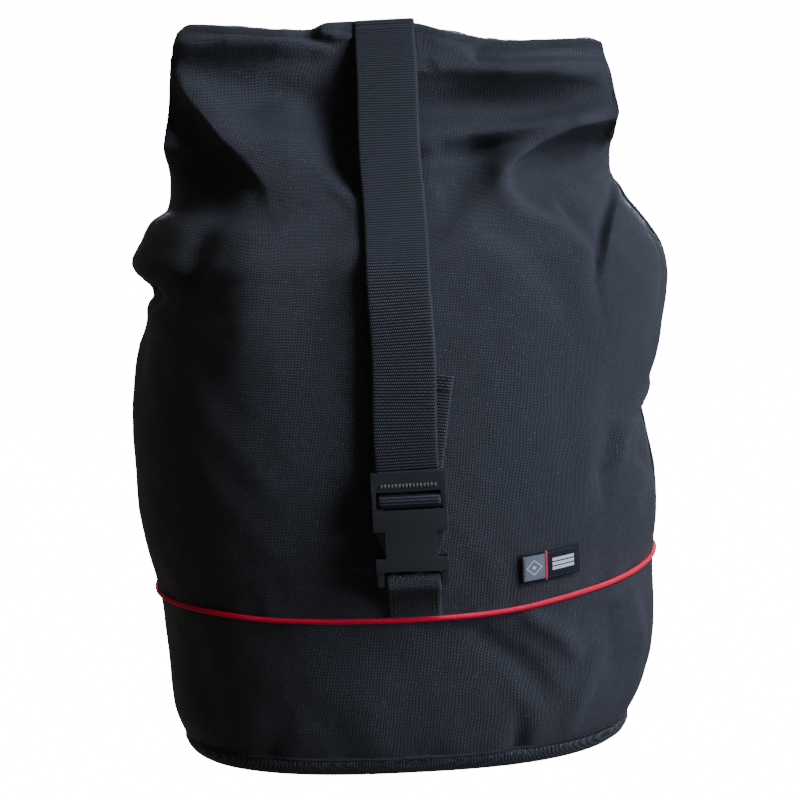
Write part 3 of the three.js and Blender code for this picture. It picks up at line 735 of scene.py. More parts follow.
class Finish:
    """A node material under construction, with short ways to add nodes."""

    def __init__(self, name, **values):
        self.material = bpy.data.materials.new(name)
        self.material.use_nodes = True
        self.tree = self.material.node_tree
        self.shader = self.tree.nodes["Principled BSDF"]
        for key, value in values.items():
            self.shader.inputs[key.replace("_", " ")].default_value = value

    def node(self, kind, *inputs, **settings):
        made = self.tree.nodes.new("ShaderNode" + kind)
        for key, value in settings.items():
            setattr(made, key, value)
        for socket, value in zip(made.inputs, inputs):
            self.put(socket, value)
        return made

    def put(self, socket, value):
        if isinstance(value, bpy.types.NodeSocket):
            self.tree.links.new(value, socket)
        elif value is not None:
            socket.default_value = value

    def math(self, operation, *values):
        return self.node("Math", *values, operation=operation).outputs[0]

    def blend(self, share, low, high):
        return self.math("ADD", low, self.math("MULTIPLY", share, high - low))

    def cloth_at(self):
        place = self.node("Attribute", attribute_name="weave").outputs["Vector"]
        split = self.node("SeparateXYZ", place)
        return split.outputs[0], split.outputs[1]

    def noise(self, scale, detail=3.0, roughness=0.55, stretch=None):
        where = self.node("TexCoord").outputs["Object"]
        if stretch:
            where = self.node("Mapping", where, None, None, stretch).outputs[0]
        return self.node("TexNoise", where, None, scale, detail, roughness).outputs[0]

    def between(self, share, dark, light):
        ramp = self.node("ValToRGB", share)
        ramp.color_ramp.elements[0].color = (*dark, 1)
        ramp.color_ramp.elements[1].color = (*light, 1)
        return ramp.outputs[0]

    def either(self, choice, first, second):
        """The first number where the choice is 0, and the second where it is 1."""
        made = self.node("Mix", data_type="FLOAT")
        for socket, value in zip([made.inputs[0], made.inputs[2], made.inputs[3]], [choice, first, second]):
            self.put(socket, value)
        return made.outputs[0]

    def brightened(self, color, by):
        return self.node("HueSaturation", 0.5, 1.0, by, 1.0, color).outputs[0]

    def mixed(self, share, first, second):
        made = self.tree.nodes.new("ShaderNodeMix")
        made.data_type = "RGBA"
        for socket, value in zip([made.inputs[0], made.inputs[6], made.inputs[7]], [share, first, second]):
            if isinstance(value, tuple):
                value = (*value, 1) if len(value) == 3 else value
            self.put(socket, value)
        return made.outputs[2]

    def bump(self, height, distance, strength=1.0, after=None):
        made = self.node("Bump")
        made.inputs["Strength"].default_value = strength
        made.inputs["Distance"].default_value = distance
        self.put(made.inputs["Height"], height)
        if after is not None:
            self.put(made.inputs["Normal"], after)
        return made.outputs[0]

    def done(self, color=None, roughness=None, normal=None):
        for key, value in (("Base Color", color), ("Roughness", roughness), ("Normal", normal)):
            if value is not None:
                self.put(self.shader.inputs[key], value)
        return self.material


def wave_of(f, value):
    """Half a sine over each whole step of the value: 0 at the gaps, 1 on the yarn."""
    return f.math("ABSOLUTE", f.math("SINE", f.math("MULTIPLY", value, math.pi)))


def plain_weave(f, across, upward, pitch_across, pitch_up):
    """Height of a plain weave: warp and weft yarns that pass over each other in turn."""
    a = f.math("DIVIDE", across, pitch_across)
    b = f.math("DIVIDE", upward, pitch_up)
    steps = f.math("ADD", f.math("FLOOR", a), f.math("FLOOR", b))
    is_warp = f.math("MODULO", f.math("ABSOLUTE", steps), 2.0)
    over_a, over_b = wave_of(f, a), wave_of(f, b)
    warp = f.math("MULTIPLY", f.math("POWER", over_a, 0.5), f.blend(over_b, 0.35, 1.0))
    weft = f.math("MULTIPLY", f.math("POWER", over_b, 0.5), f.blend(over_a, 0.35, 1.0))
    return f.either(is_warp, weft, warp), is_warp


def bag_fabric(name, dark, light, dust):
    """Coated polyester: coarse plain weave with a painted bluish glint on its warp yarns and painted shade in
    its gaps, dusty in places, and lightened on its ridges partly by abrasion and partly as painted highlight.
    """
    f = Finish(name, Specular_IOR_Level=0.25, Sheen_Weight=0.03, Sheen_Roughness=0.4,
               Sheen_Tint=(0.75, 0.82, 1.0, 1))
    across, upward = f.cloth_at()
    across = f.math("ADD", across, f.blend(f.noise(38.0, 2.0, 0.5), 0.0, 0.0024))
    upward = f.math("ADD", upward, f.blend(f.noise(45.0, 2.0, 0.5), 0.0, 0.0024))
    yarn, is_warp = plain_weave(f, across, upward, 0.00115, 0.00122)
    slub = f.noise(420.0, 2.0, 0.6)
    cloudy = f.noise(7.0, 4.0, 0.6)
    wear_and_highlight_share = f.node("Attribute", attribute_name="wear_and_highlight").outputs["Fac"]
    # Painted glint: warp yarn tops lighter in the colour, and weft and gaps darker, as the side light falls
    # on them; the same pattern also makes the warp smoother.
    warp_gloss_and_painted_glint = f.math("MULTIPLY", yarn, f.blend(is_warp, 0.10, 1.0))
    color = f.between(f.math("MULTIPLY", warp_gloss_and_painted_glint, f.blend(slub, 0.7, 1.25)), dark, light)
    # Lighter where the cloth stands proud: partly abrasion, partly painted highlight on the ridges.
    tone = f.math("ADD", f.blend(cloudy, 0.78, 1.2), f.math("MULTIPLY", wear_and_highlight_share, 0.35))
    shade = f.brightened(color, tone)
    specks = f.math("GREATER_THAN", f.noise(900.0, 1.0, 0.5), 0.73)
    shade = f.mixed(f.math("MULTIPLY", specks, dust), shade, (0.18, 0.18, 0.19))
    rough = f.math("SUBTRACT", f.blend(cloudy, 0.60, 0.74), f.math("MULTIPLY", warp_gloss_and_painted_glint, 0.36))
    fine = f.math("ADD", yarn, f.math("MULTIPLY", slub, 0.35))
    return f.done(shade, rough, f.bump(fine, 0.00065, 1.0))


def webbing(name, dark, light, half_width, rib=0.00235, column=0.0017, relief=0.0005):
    """Ribbed webbing: raised weft ribs with staggered floats, and closer selvedges at both edges."""
    f = Finish(name, Specular_IOR_Level=0.2, Sheen_Weight=0.03, Sheen_Roughness=0.4,
               Sheen_Tint=(0.8, 0.85, 1.0, 1))
    across, upward = f.cloth_at()
    b = f.math("DIVIDE", upward, rib)
    shift = f.math("MULTIPLY", f.math("MODULO", f.math("FLOOR", b), 2.0), 0.5)
    a = f.math("ADD", f.math("DIVIDE", across, column), shift)
    ribs = f.math("POWER", wave_of(f, b), 1.5)
    height = f.math("MULTIPLY", ribs, f.blend(wave_of(f, a), 0.3, 1.0))
    edge = f.math("GREATER_THAN", f.math("ABSOLUTE", across), half_width - 0.0012)
    selvedge = f.blend(wave_of(f, f.math("DIVIDE", upward, rib / 2)), 0.05, 0.40)
    height = f.either(edge, height, selvedge)
    cloudy = f.noise(14.0, 4.0, 0.6)
    # Painted shade and highlight: the colour follows the rib height, rib tops lighter and the gaps between
    # ribs darker.
    color = f.between(f.math("MULTIPLY", height, f.blend(cloudy, 0.7, 1.25)), dark, light)
    rough = f.blend(cloudy, 0.48, 0.66)
    fuzz = f.math("ADD", height, f.math("MULTIPLY", f.noise(700.0, 2.0, 0.6), 0.25))
    return f.done(color, rough, f.bump(fuzz, relief, 0.9))


def moulded_plastic(name, color, scuffed):
    """Matt moulded nylon: fine grain, faint scuffs and a little dust."""
    f = Finish(name, Specular_IOR_Level=0.3)
    grain = f.noise(1600.0, 2.0, 0.5)
    scuffs = f.noise(60.0, 5.0, 0.75, stretch=(1.0, 1.0, 6.0))
    marks = f.math("MULTIPLY", f.math("GREATER_THAN", scuffs, 0.66), 0.6)
    base = f.mixed(marks, f.between(f.noise(30.0), color, tuple(1.25 * c for c in color)), scuffed)
    height = f.math("ADD", grain, f.math("MULTIPLY", scuffs, 0.6))
    return f.done(base, f.blend(grain, 0.34, 0.5), f.bump(height, 0.00008, 0.7))


def piping_cloth(name):
    """Satin piping: a red tape wrapped round a cord, with slanting yarns and darker soiled stretches."""
    f = Finish(name, Specular_IOR_Level=0.2)
    around, along = f.cloth_at()
    slant = f.math("ADD", f.math("DIVIDE", along, 0.0011), f.math("DIVIDE", around, 0.0016))
    yarn = wave_of(f, slant)
    soil = f.noise(18.0, 4.0, 0.65)
    color = f.between(yarn, (0.42, 0.002, 0.016), (0.80, 0.005, 0.045))
    shade = f.brightened(color, f.blend(soil, 0.65, 1.25))
    return f.done(shade, f.blend(soil, 0.42, 0.62), f.bump(yarn, 0.00022, 0.8))


def woven_label(name):
    """Damask label: black ground, a grey field with a plain lozenge, a red stripe and three short bars."""
    f = Finish(name, Specular_IOR_Level=0.15)
    across, upward = f.cloth_at()

    def inside(value, low, high):
        return f.math("MULTIPLY", f.math("GREATER_THAN", value, low), f.math("LESS_THAN", value, high))

    field = inside(across, -0.0222, -0.0050)
    field = f.math("MULTIPLY", field, inside(upward, -0.0106, 0.0106))
    stripe = inside(across, -0.0044, -0.0030)
    middle = f.math("ABSOLUTE", f.math("ADD", across, 0.0136))
    aside = f.math("ABSOLUTE", upward)
    ring = f.math("ADD", middle, aside)
    lozenge = f.math("MAXIMUM", inside(ring, 0.0056, 0.0066), inside(ring, 0.0, 0.0018))
    bars = f.math("MULTIPLY", inside(across, 0.0010, 0.0185), f.math("LESS_THAN", aside, 0.0052))
    gaps = f.math("LESS_THAN", wave_of(f, f.math("DIVIDE", f.math("ADD", upward, 0.0019), 0.0038)), 0.42)
    bars = f.math("MULTIPLY", bars, f.math("SUBTRACT", 1.0, gaps))
    yarn = plain_weave(f, across, upward, 0.00042, 0.00042)[0]
    color = f.mixed(field, (0.006, 0.007, 0.011), (0.13, 0.14, 0.155))
    color = f.mixed(bars, color, (0.50, 0.50, 0.51))
    color = f.mixed(lozenge, color, (0.46, 0.46, 0.47))
    color = f.mixed(stripe, color, (0.55, 0.020, 0.050))
    shade = f.brightened(color, f.blend(yarn, 0.62, 1.15))
    return f.done(shade, f.blend(yarn, 0.75, 0.6), f.bump(yarn, 0.00012, 0.7))


def thread(name, color):
    """Twisted sewing thread."""
    f = Finish(name, Specular_IOR_Level=0.35, Sheen_Weight=0.2)
    twist = f.noise(2600.0, 1.0, 0.4)
    return f.done(f.between(twist, color, tuple(1.7 * c for c in color)), f.blend(twist, 0.5, 0.7))


def board(name):
    """Grey foam board, with a fine closed-cell grain."""
    f = Finish(name, Specular_IOR_Level=0.3)
    cells = f.node("TexVoronoi", f.node("TexCoord").outputs["Object"], None, 900.0).outputs[0]
    return f.done(f.between(cells, (0.03, 0.03, 0.032), (0.06, 0.06, 0.064)), f.blend(cells, 0.8, 0.92),
                  f.bump(cells, 0.0002, 0.6))


def floor_paper(name):
    """Pale seamless paper with a barely uneven surface."""
    f = Finish(name, Specular_IOR_Level=0.2, Emission_Color=(1.0, 1.0, 1.0, 1),
               Emission_Strength=BACKDROP_LIGHT)
    tooth = f.noise(240.0, 3.0, 0.6)
    return f.done(f.between(tooth, (0.86, 0.86, 0.855), (0.90, 0.90, 0.895)), f.blend(tooth, 0.85, 0.95),
                  f.bump(tooth, 0.0001, 0.3))


# ---- The sewn body ---------------------------------------------------------------------------

def even_angles(start, end, count, z):
    """Tube angles at even distances round the cloth at height z."""
    angles = np.linspace(start, end, 720)
    run = run_length(tube(angles, z))
    return np.interp(np.linspace(0, run[-1], count), run, angles)


def even_heights(angle, low, high, count):
    """Heights at even distances up the cloth at one angle."""
    heights = np.linspace(low, high, 900)
    run = run_length(tube(angle, heights))
    return np.interp(np.linspace(0, run[-1], count), run, heights)


def tube_grid(angles, heights):
    return tube(angles[:, None], heights[None, :])


def body_front(material):
    """Front and side cloth in one piece, from the piping seam up to the crease of the mouth."""
    angles = even_angles(LEFT_SEAM - 360, RIGHT_SEAM, 300, 0.30)
    low = even_heights(-90, PIPING_Z + 0.0012, 0.425, 110)
    heights = np.concatenate([low[:-1], even_heights(-90, 0.425, MOUTH_Z, 120)])
    points, offset = gathered(angles, heights, body_folds(), seed=11)
    middle = int(np.abs(angles + 90).argmin())
    obj = panel("body_front_cloth", points, material, middle, wear_and_highlight=rubbed_and_highlit(offset))
    return place(obj, "bag", "bag_fabric", "body_wrap")


def back_cloth(material):
    angles = even_angles(RIGHT_SEAM, LEFT_SEAM, 120, 0.30)
    heights = even_heights(90, PIPING_Z + 0.0012, YOKE_Z, 90)
    points, offset = folded(tube_grid(angles, heights), back_folds(), seed=23)
    obj = panel("back_cloth", points, material, 60, wear_and_highlight=rubbed_and_highlit(offset))
    return place(obj, "bag", "bag_fabric", "back_panel")


def upper_back_cloth(material):
    """The cloth over the load, from the yoke forward and up into the flat neck."""
    angles = even_angles(RIGHT_SEAM, LEFT_SEAM, 150, 0.48)
    heights = even_heights(90, YOKE_Z, MOUTH_Z, 110)
    points, offset = gathered(angles, heights, back_folds(), seed=31)
    obj = panel("upper_back_cloth", points, material, 75, wear_and_highlight=rubbed_and_highlit(offset))
    return place(obj, "bag", "bag_fabric", "upper_back")


def lower_band_cloth(material):
    angles = even_angles(-180, 180, 331, 0.08)[:-1]
    heights = np.linspace(BASE_SEAM_Z + 0.0008, PIPING_Z - 0.0012, 48)
    points, offset = folded(tube_grid(angles, heights), band_folds(), seed=41, closed=True)
    middle = int(np.abs(angles + 90).argmin())
    obj = panel("lower_band_cloth", points, material, middle, closed=True, wear_and_highlight=rubbed_and_highlit(offset, 0.006))
    return place(obj, "bag", "bag_fabric", "lower_band")


def base_cloth(material):
    """The base panel: flat underneath, with a soft edge that rises to the welted seam."""
    angles = np.linspace(-180, 180, 241)[:-1]
    shares = [(0.0, 0.0), (0.30, 0.0), (0.60, 0.0), (0.86, 0.0), (0.935, 0.0003), (0.965, 0.0016),
              (0.985, 0.004), (0.997, 0.0075), (1.004, 0.011), (1.002, 0.0142)]
    rim = tube(angles, BASE_SEAM_Z)
    sag = 0.0012 * ripple(rim[:, 0] / 0.09, rim[:, 1] / 0.09, seed=5)
    rings = []
    for share, z in shares:
        ring = rim * [share, share, 0] + [0, 0, z]
        if z > 0:
            ring[:, :2] *= 1 + (sag * z / 0.011 / 0.2)[:, None]
        rings.append(ring)
    outer = np.array(rings)[1:]
    inner = outer * [0.992, 0.992, 1] + [0, 0, 0.0016]
    loops = np.concatenate([outer, inner[::-1]])
    count, size = loops.shape[:2]
    faces = loop_faces(count, size)
    faces.append(tuple(reversed(range(size))))
    faces.append(tuple((count - 1) * size + i for i in range(size)))
    obj = make_object("base_cloth", loops, faces, material, loops[..., :2])
    mend(obj.data)
    return place(obj, "bag", "bag_fabric", "base_panel")


def seam_ring(name, z, outset, radius, material, sides, pinched):
    """A cord sewn all round into a seam, a little uneven along its way."""
    angles = even_angles(-180, 180, 421, z)[:-1]
    path = tube(angles, z, -outset)
    wander = 0.0007 * ripple(angles / 40, angles * 0, seed=int(z * 1000), octaves=2)
    path[:, 2] += wander
    if pinched:
        for each in band_folds():
            path[:, :2] *= 1 + (each.offset(path, path * [1, 1, 0] / 0.2) * 0.8 / 0.2)[:, None]
    return rope(name, path, radius, material, sides, closed=True)


def side_binding(name, angle, material):
    heights = np.linspace(PIPING_Z + 0.004, 0.482, 110)
    beside = tube_grid(np.array([angle - 2.0, angle, angle + 2.0]), heights)
    sunk = 0.0026 - 0.0065 * smoothstep(0.462, 0.482, heights)[:, None]
    path = folded(beside, body_folds(), seed=11)[0][1] + grid_normals(beside)[1] * sunk
    obj = rope("side_binding_cord_" + name, path, 0.0026, material, 12)
    return place(obj, "bag", "binding_tape", "side_binding_" + name)


def surface_patch(angles, heights, outset):
    """A grid of points lying on the tube, and its outward normals."""
    points = tube_grid(np.asarray(angles, float), np.asarray(heights, float))
    normals = grid_normals(points)
    return points + normals * outset, normals


def label_patch(material, sewing):
    """The label at the right of the front, with its folded edges and the thread round it."""
    x = np.linspace(0.0885, 0.1350, 25)
    z = np.linspace(0.1535, 0.1785, 13)
    across, upward = np.meshgrid(x, z, indexing="ij")
    points = tube(front_angle(across, upward), upward)
    normals = grid_normals(points)
    edge_x = np.minimum(x - x[0], x[-1] - x)[:, None]
    edge_z = np.minimum(z - z[0], z[-1] - z)[None, :]
    crown = 0.0005 * smoothstep(0, 0.003, np.minimum(edge_x, edge_z))
    points += normals * (0.0022 + crown)[..., None]
    weave = np.stack([across - x.mean(), upward - z.mean()], axis=-1)
    obj = sandwich("woven_label", points, points - grid_normals(points) * 0.0010, material, weave)
    obj.data.set_sharp_from_angle(angle=CLOTH_CREASE)
    place(obj, "bag", "woven_label", "label")
    rows = [(points[1, 1:-1], normals[1, 1:-1]), (points[-2, 1:-1], normals[-2, 1:-1]),
            (points[1:-1, 1], normals[1:-1, 1]), (points[1:-1, -2], normals[1:-1, -2])]
    stitches("label_stitches", rows, sewing, "bag", "woven_label", length=0.0021, gap=0.0010, radius=0.0002)


# ---- The rolled mouth ------------------------------------------------------------------------

def roll_line(angles, outset=0.0):
    """Points (y, z) of the rolled cloth seen from its end."""
    angles = np.asarray(angles, float)
    shrink = ROLL["pitch"] * np.maximum(angles - 75, 0) / 360
    y = ROLL["y"] - (ROLL["depth"] - shrink + outset) * np.cos(np.radians(angles))
    z = ROLL["z"] + (ROLL["height"] - shrink + outset) * np.sin(np.radians(angles))
    return np.stack([y, z], axis=-1)


def roll_cloth(material):
    """The rolled cloth: it starts in the crease of the neck and winds two and a half turns behind it."""
    lead = [(-0.0290, MOUTH_Z), (-0.0277, 0.6052), (-0.0252, 0.6081), (-0.0205, 0.6099), (-0.0145, 0.6107)]
    outer = roll_line(np.linspace(75, 75 + 360, 90), FABRIC / 2)
    wound = roll_line(np.linspace(75 + 364, 75 + 360 * ROLL["turns"], 90), FABRIC / 2)
    line = np.concatenate([spline(lead, 10), outer, wound])
    x = np.linspace(-0.1745, 0.1835, 130)
    points = np.zeros((len(x), len(line), 3))
    points[..., 0] = x[:, None]
    points[..., 1] = line[None, :, 0]
    points[..., 2] = line[None, :, 1]
    points[..., 2] += lift_of(points[..., 0], points[..., 2])
    points[..., 0] += corner_pull(points[..., 0], points[..., 2])
    run = run_length(line)
    mouth = tube(front_angle(x, MOUTH_Z), np.full(len(x), MOUTH_Z))[:, None]
    proud = neck_relief(mouth, np.full(len(x), -90.0), np.full(1, MOUTH_Z)) - (mouth[..., 1] - line[0, 0])
    points[..., 1] -= proud * smoothstep(0.030, 0.0, run)[None, :]
    shell = smoothstep(0.012, 0.03, run) * smoothstep(run[104], run[90], run)
    normals = grid_normals(points)
    wave = 0.0022 * ripple(points[..., 0] / 0.075, run[None, :] / 0.05 + 0 * points[..., 0], seed=53)
    clear = smoothstep(0.026, 0.045, np.abs(points[..., 0] - STRAP_X))
    points += normals * (np.minimum(wave, 0.0015) * shell[None, :] * clear)[..., None]
    weave = np.stack(np.broadcast_arrays(x[:, None], 0.5 + run[None, :]), axis=-1)
    obj = sandwich("roll_cloth", points, points - normals * FABRIC, material, weave,
                   rubbed_and_highlit(wave * shell[None, :], 0.004))
    mend(obj.data)
    obj.data.set_sharp_from_angle(angle=CLOTH_CREASE)
    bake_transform(obj)
    return finish_piece(obj, "bag_fabric", "roll_sheet")


def roll_board(material):
    """The flat stiffener in the heart of the roll."""
    x = np.linspace(-0.166, 0.174, 60)
    low, high = ROLL["z"] - 0.026, ROLL["z"] + 0.022
    line = np.stack([x, np.full(60, ROLL["y"]), (low + high) / 2 + 0 * x], axis=1)
    line[:, 2] += lift_of(x, line[:, 2])
    obj = ribbon("roll_stiffener_strip", line, (0, 0, 1), high - low, 0.0024, material, across=8)
    return place(obj, "roll", "stiffener_sheet", "roll_stiffener")


# ---- The closing strap -----------------------------------------------------------------------

def strap_points(line, x=STRAP_X):
    line = np.asarray(line, float)
    return np.stack([np.broadcast_to(x, len(line)), line[:, 0], line[:, 1]], axis=1)


def strap_front(material):
    """From the buckle up the front to the crease: it hangs free of the cloth."""
    low = [(-0.1564, 0.2566), (-0.1570, 0.272), (-0.1568, 0.295), (-0.1554, 0.325), (-0.152, 0.356),
           (-0.1466, 0.389), (-0.1394, 0.413)]
    line = spline(low + [(y, z) for z, y in STRAP_SPAN], 260)
    sway = 0.0009 * np.sin(line[:, 1] * 21) + 0.0005 * np.sin(line[:, 1] * 57 + 1)
    points = strap_points(line, STRAP_X + sway)
    twist = 0.030 * np.sin(line[:, 1] * 16 + 0.6) * smoothstep(0.26, 0.30, line[:, 1])
    twist *= smoothstep(0.60, 0.50, line[:, 1])
    wide = np.stack([np.ones(len(line)), twist, np.zeros(len(line))], axis=1)
    obj = ribbon("strap_front_webbing", points, wide, STRAP_WIDTH, WEBBING, material, across=24)
    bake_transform(obj)
    return finish_piece(obj, "wide_webbing", "strap_upper", "strap_lower")


def strap_top(material):
    """Over the crease and the top of the roll, down to the back of the roll."""
    arc = roll_line(np.linspace(84, 168, 16), FABRIC / 2 + WEBBING / 2 + 0.0010)
    lead = [(-0.0296, 0.6052), (-0.0290, 0.6078), (-0.0262, 0.6104), (-0.0170, 0.6124)]
    line = spline(lead + [tuple(p) for p in arc], 90)
    obj = ribbon("strap_top_webbing", strap_points(line), ACROSS, STRAP_WIDTH, WEBBING, material, across=24)
    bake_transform(obj)
    return finish_piece(obj, "wide_webbing", "strap_over")


def strap_behind(material):
    """From the yoke up to the back of the roll."""
    line = spline([(0.1068, 0.457), (0.1036, 0.466), (0.092, 0.482), (0.075, 0.504), (0.052, 0.535),
                   (0.0229, 0.5755)], 90)
    obj = ribbon("strap_back_webbing", strap_points(line), ACROSS, STRAP_WIDTH, WEBBING, material, across=24)
    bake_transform(obj)
    return finish_piece(obj, "wide_webbing", "strap_back")


def strap_loop(material):
    """Webbing threaded behind the ladder bar and round the lower bar of the buckle."""
    line = np.array([(1.6, 89.8), (1.6, 74), (-1.6, 71.6), (-5, 70.2), (-5.9, 66), (-4.4, 62.8), (-0.2, 62.8),
                     (2.4, 65.5), (4.2, 70), (4.2, 89.8)]) / 1000
    line = spline(line, 70) + [BUCKLE.y, BUCKLE.z]
    obj = ribbon("strap_loop_webbing", strap_points(line), ACROSS, STRAP_WIDTH - 0.0006, WEBBING, material,
                 across=20)
    return place(obj, "buckle_male", "wide_webbing", "strap_loop")


def strap_tail(material, sewing):
    """The free end, which slants out to the right behind the strap, with its folded and sewn hem."""
    pivot = BUCKLE.z + 0.089
    body = spline([(-0.1538, 0.2568), (-0.1534, 0.280), (-0.1527, 0.300), (-0.1522, 0.3186)], 60)
    centre = STRAP_X + 0.0025
    points = strap_points(body, centre + TAIL_SLANT * (body[:, 1] - pivot))
    wide = (1, 0, -0.10)
    tail = ribbon("strap_tail_webbing", points, wide, STRAP_WIDTH - 0.001, WEBBING, material, across=20)
    place(tail, "buckle_male", "wide_webbing", "strap_tail")
    fold_line = spline([(-0.1522, 0.3190), (-0.1519, 0.325), (-0.1517, 0.330)], 24)
    hem_points = strap_points(fold_line, centre + TAIL_SLANT * (fold_line[:, 1] - pivot))
    hem = ribbon("tail_hem_fold", hem_points, wide, STRAP_WIDTH - 0.001, 0.0030, material, across=20)
    place(hem, "buckle_male", "wide_webbing", "tail_hem")
    rows = []
    for share in (0.3, 0.7):
        middle = hem_points[int(share * 23)] + [0, -0.0015, 0]
        reach = np.linspace(-0.022, 0.022, 20)[:, None] * np.array([1, 0, -0.10])
        rows.append((middle + reach, np.tile([0.0, -1.0, 0.0], (20, 1))))
    stitches("tail_hem_stitches", rows, sewing, "buckle_male", "wide_webbing", length=0.0026)


def buckle_tab(material, sewing):
    """Fabric tab that rises from the piping seam and loops round the foot bar of the buckle."""
    line = np.array([(15.4, -29), (13, -20), (8, -12), (-3, -3.4), (-4.6, 3), (-3.4, 7.8), (0, 9.2),
                     (3.4, 7.6), (4.2, 4), (5.4, 0), (11, -9)]) / 1000
    line = spline(line, 90) + [BUCKLE.y, BUCKLE.z]
    obj = ribbon("buckle_tab_cloth", strap_points(line), ACROSS, 0.0425, 0.0017, material, across=20)
    place(obj, "bag", "bag_fabric", "buckle_tab")
    front = line[4:42]
    normals = np.stack([np.zeros(len(front)), -np.gradient(front[:, 1]), np.gradient(front[:, 0])], axis=1)
    normals = unit(normals)
    rows = [(strap_points(front, STRAP_X + side * inset) + normals * 0.00085, normals)
            for side in (-1, 1) for inset in (0.0185, 0.0150)]
    stitches("buckle_tab_stitches", rows, sewing, "bag", "bag_fabric", length=0.0026)


def ladder_teeth(material):
    """The row of small gripping teeth on the face of the ladder bar."""
    points, faces = [], []
    for x in np.linspace(-0.0205, 0.0205, 16):
        first = len(points)
        for y, z in ((-0.0059, 0.0772), (-0.0059, 0.0806), (-0.0072, 0.0798), (-0.0072, 0.0786)):
            half = 0.00055 if y < -0.007 else 0.0009
            points += [(BUCKLE.x + x + side * half, BUCKLE.y + y, BUCKLE.z + z) for side in (-1, 1)]
        quads = [(0, 1, 3, 2), (2, 3, 5, 4), (4, 5, 7, 6), (6, 7, 1, 0), (0, 2, 4, 6), (1, 7, 5, 3)]
        faces += [tuple(first + i for i in quad) for quad in quads]
    obj = make_object("ladder_teeth", np.array(points), faces, material)
    mend(obj.data)
    set_smooth(obj.data, smooth=False)
    return place(obj, "buckle_male", "buckle_plastic")


# ---- The harness -----------------------------------------------------------------------------

def mesh_points(obj):
    co = np.zeros(len(obj.data.vertices) * 3, np.float32)
    obj.data.vertices.foreach_get("co", co)
    return co.reshape(-1, 3)


def swell(obj, pressure, cap, keep, outward):
    """Blows the cover of a stuffed piece out by cloth simulation, and applies it.

    keep gives, for each point at rest, how much of the movement it takes: 0 where the piece is sewn down.
    outward gives the way it may move, so that its outline stays under its binding.
    """
    rest = mesh_points(obj)
    cloth_modifier = obj.modifiers.new("swelling", "CLOTH")
    settings = cloth_modifier.settings
    settings.quality = 5
    settings.use_pressure = True
    settings.uniform_pressure_force = pressure
    settings.tension_stiffness = 20
    settings.compression_stiffness = 12
    settings.bending_stiffness = 1.2
    settings.effector_weights.gravity = 0
    cloth_modifier.point_cache.frame_start = 1
    cloth_modifier.point_cache.frame_end = 20
    scene = bpy.context.scene
    for step in range(1, 21):
        scene.frame_set(step)
    apply_modifiers(obj)
    way = outward(rest)
    rise = np.maximum(((mesh_points(obj) - rest) * way).sum(1), 0)
    rise = cap * np.tanh(rise / cap) * keep(rest)
    obj.data.vertices.foreach_set("co", (rest + way * rise[:, None]).astype(np.float32).ravel())
    scene.frame_set(1)


def apply_modifiers(obj):
    scene = bpy.context.scene
    bpy.context.view_layer.update()
    evaluated = obj.evaluated_get(bpy.context.evaluated_depsgraph_get())
    mesh = bpy.data.meshes.new_from_object(evaluated)
    obj.modifiers.clear()
    old = obj.data
    obj.data = mesh
    bpy.data.meshes.remove(old)
    scene.view_layers[0].update()


def refine(obj):
    modifier = obj.modifiers.new("finer", "SUBSURF")
    modifier.levels = 1
    modifier.render_levels = 1
    apply_modifiers(obj)


def set_cloth_coordinates(obj, across, upward):
    """Gives each point of a finished mesh its place on the cloth, from two functions of its position."""
    co = mesh_points(obj)
    values = np.zeros_like(co)
    values[:, 0] = across(co)
    values[:, 1] = upward(co)
    layer = obj.data.attributes.get("weave") or obj.data.attributes.new("weave", "FLOAT_VECTOR", "POINT")
    layer.data.foreach_set("vector", values.ravel())
    if "wear_and_highlight" not in obj.data.attributes:
        obj.data.attributes.new("wear_and_highlight", "FLOAT", "POINT")
    set_smooth(obj.data)


def pad_angle(z):
    share = 2 * (z - PAD["low"]) / (PAD["high"] - PAD["low"]) - 1
    return PAD["angle"] * (1 - 0.32 * np.abs(share) ** 6)


def pad_depth(points):
    """How far points stand off the back of the tube."""
    x, y, z = points[:, 0], points[:, 1], points[:, 2]
    plain = flat_height(x, z)
    share = np.clip(np.abs(x) / reach_of(x, plain), 0, 0.999) ** SQUARENESS
    front, back = monotone(DEPTHS, plain, 1), monotone(DEPTHS, plain, 2)
    middle = back - SIDE_SHARE * (back - front)
    return y - (middle + (back - middle) * (1 - share) ** (1 / SQUARENESS))


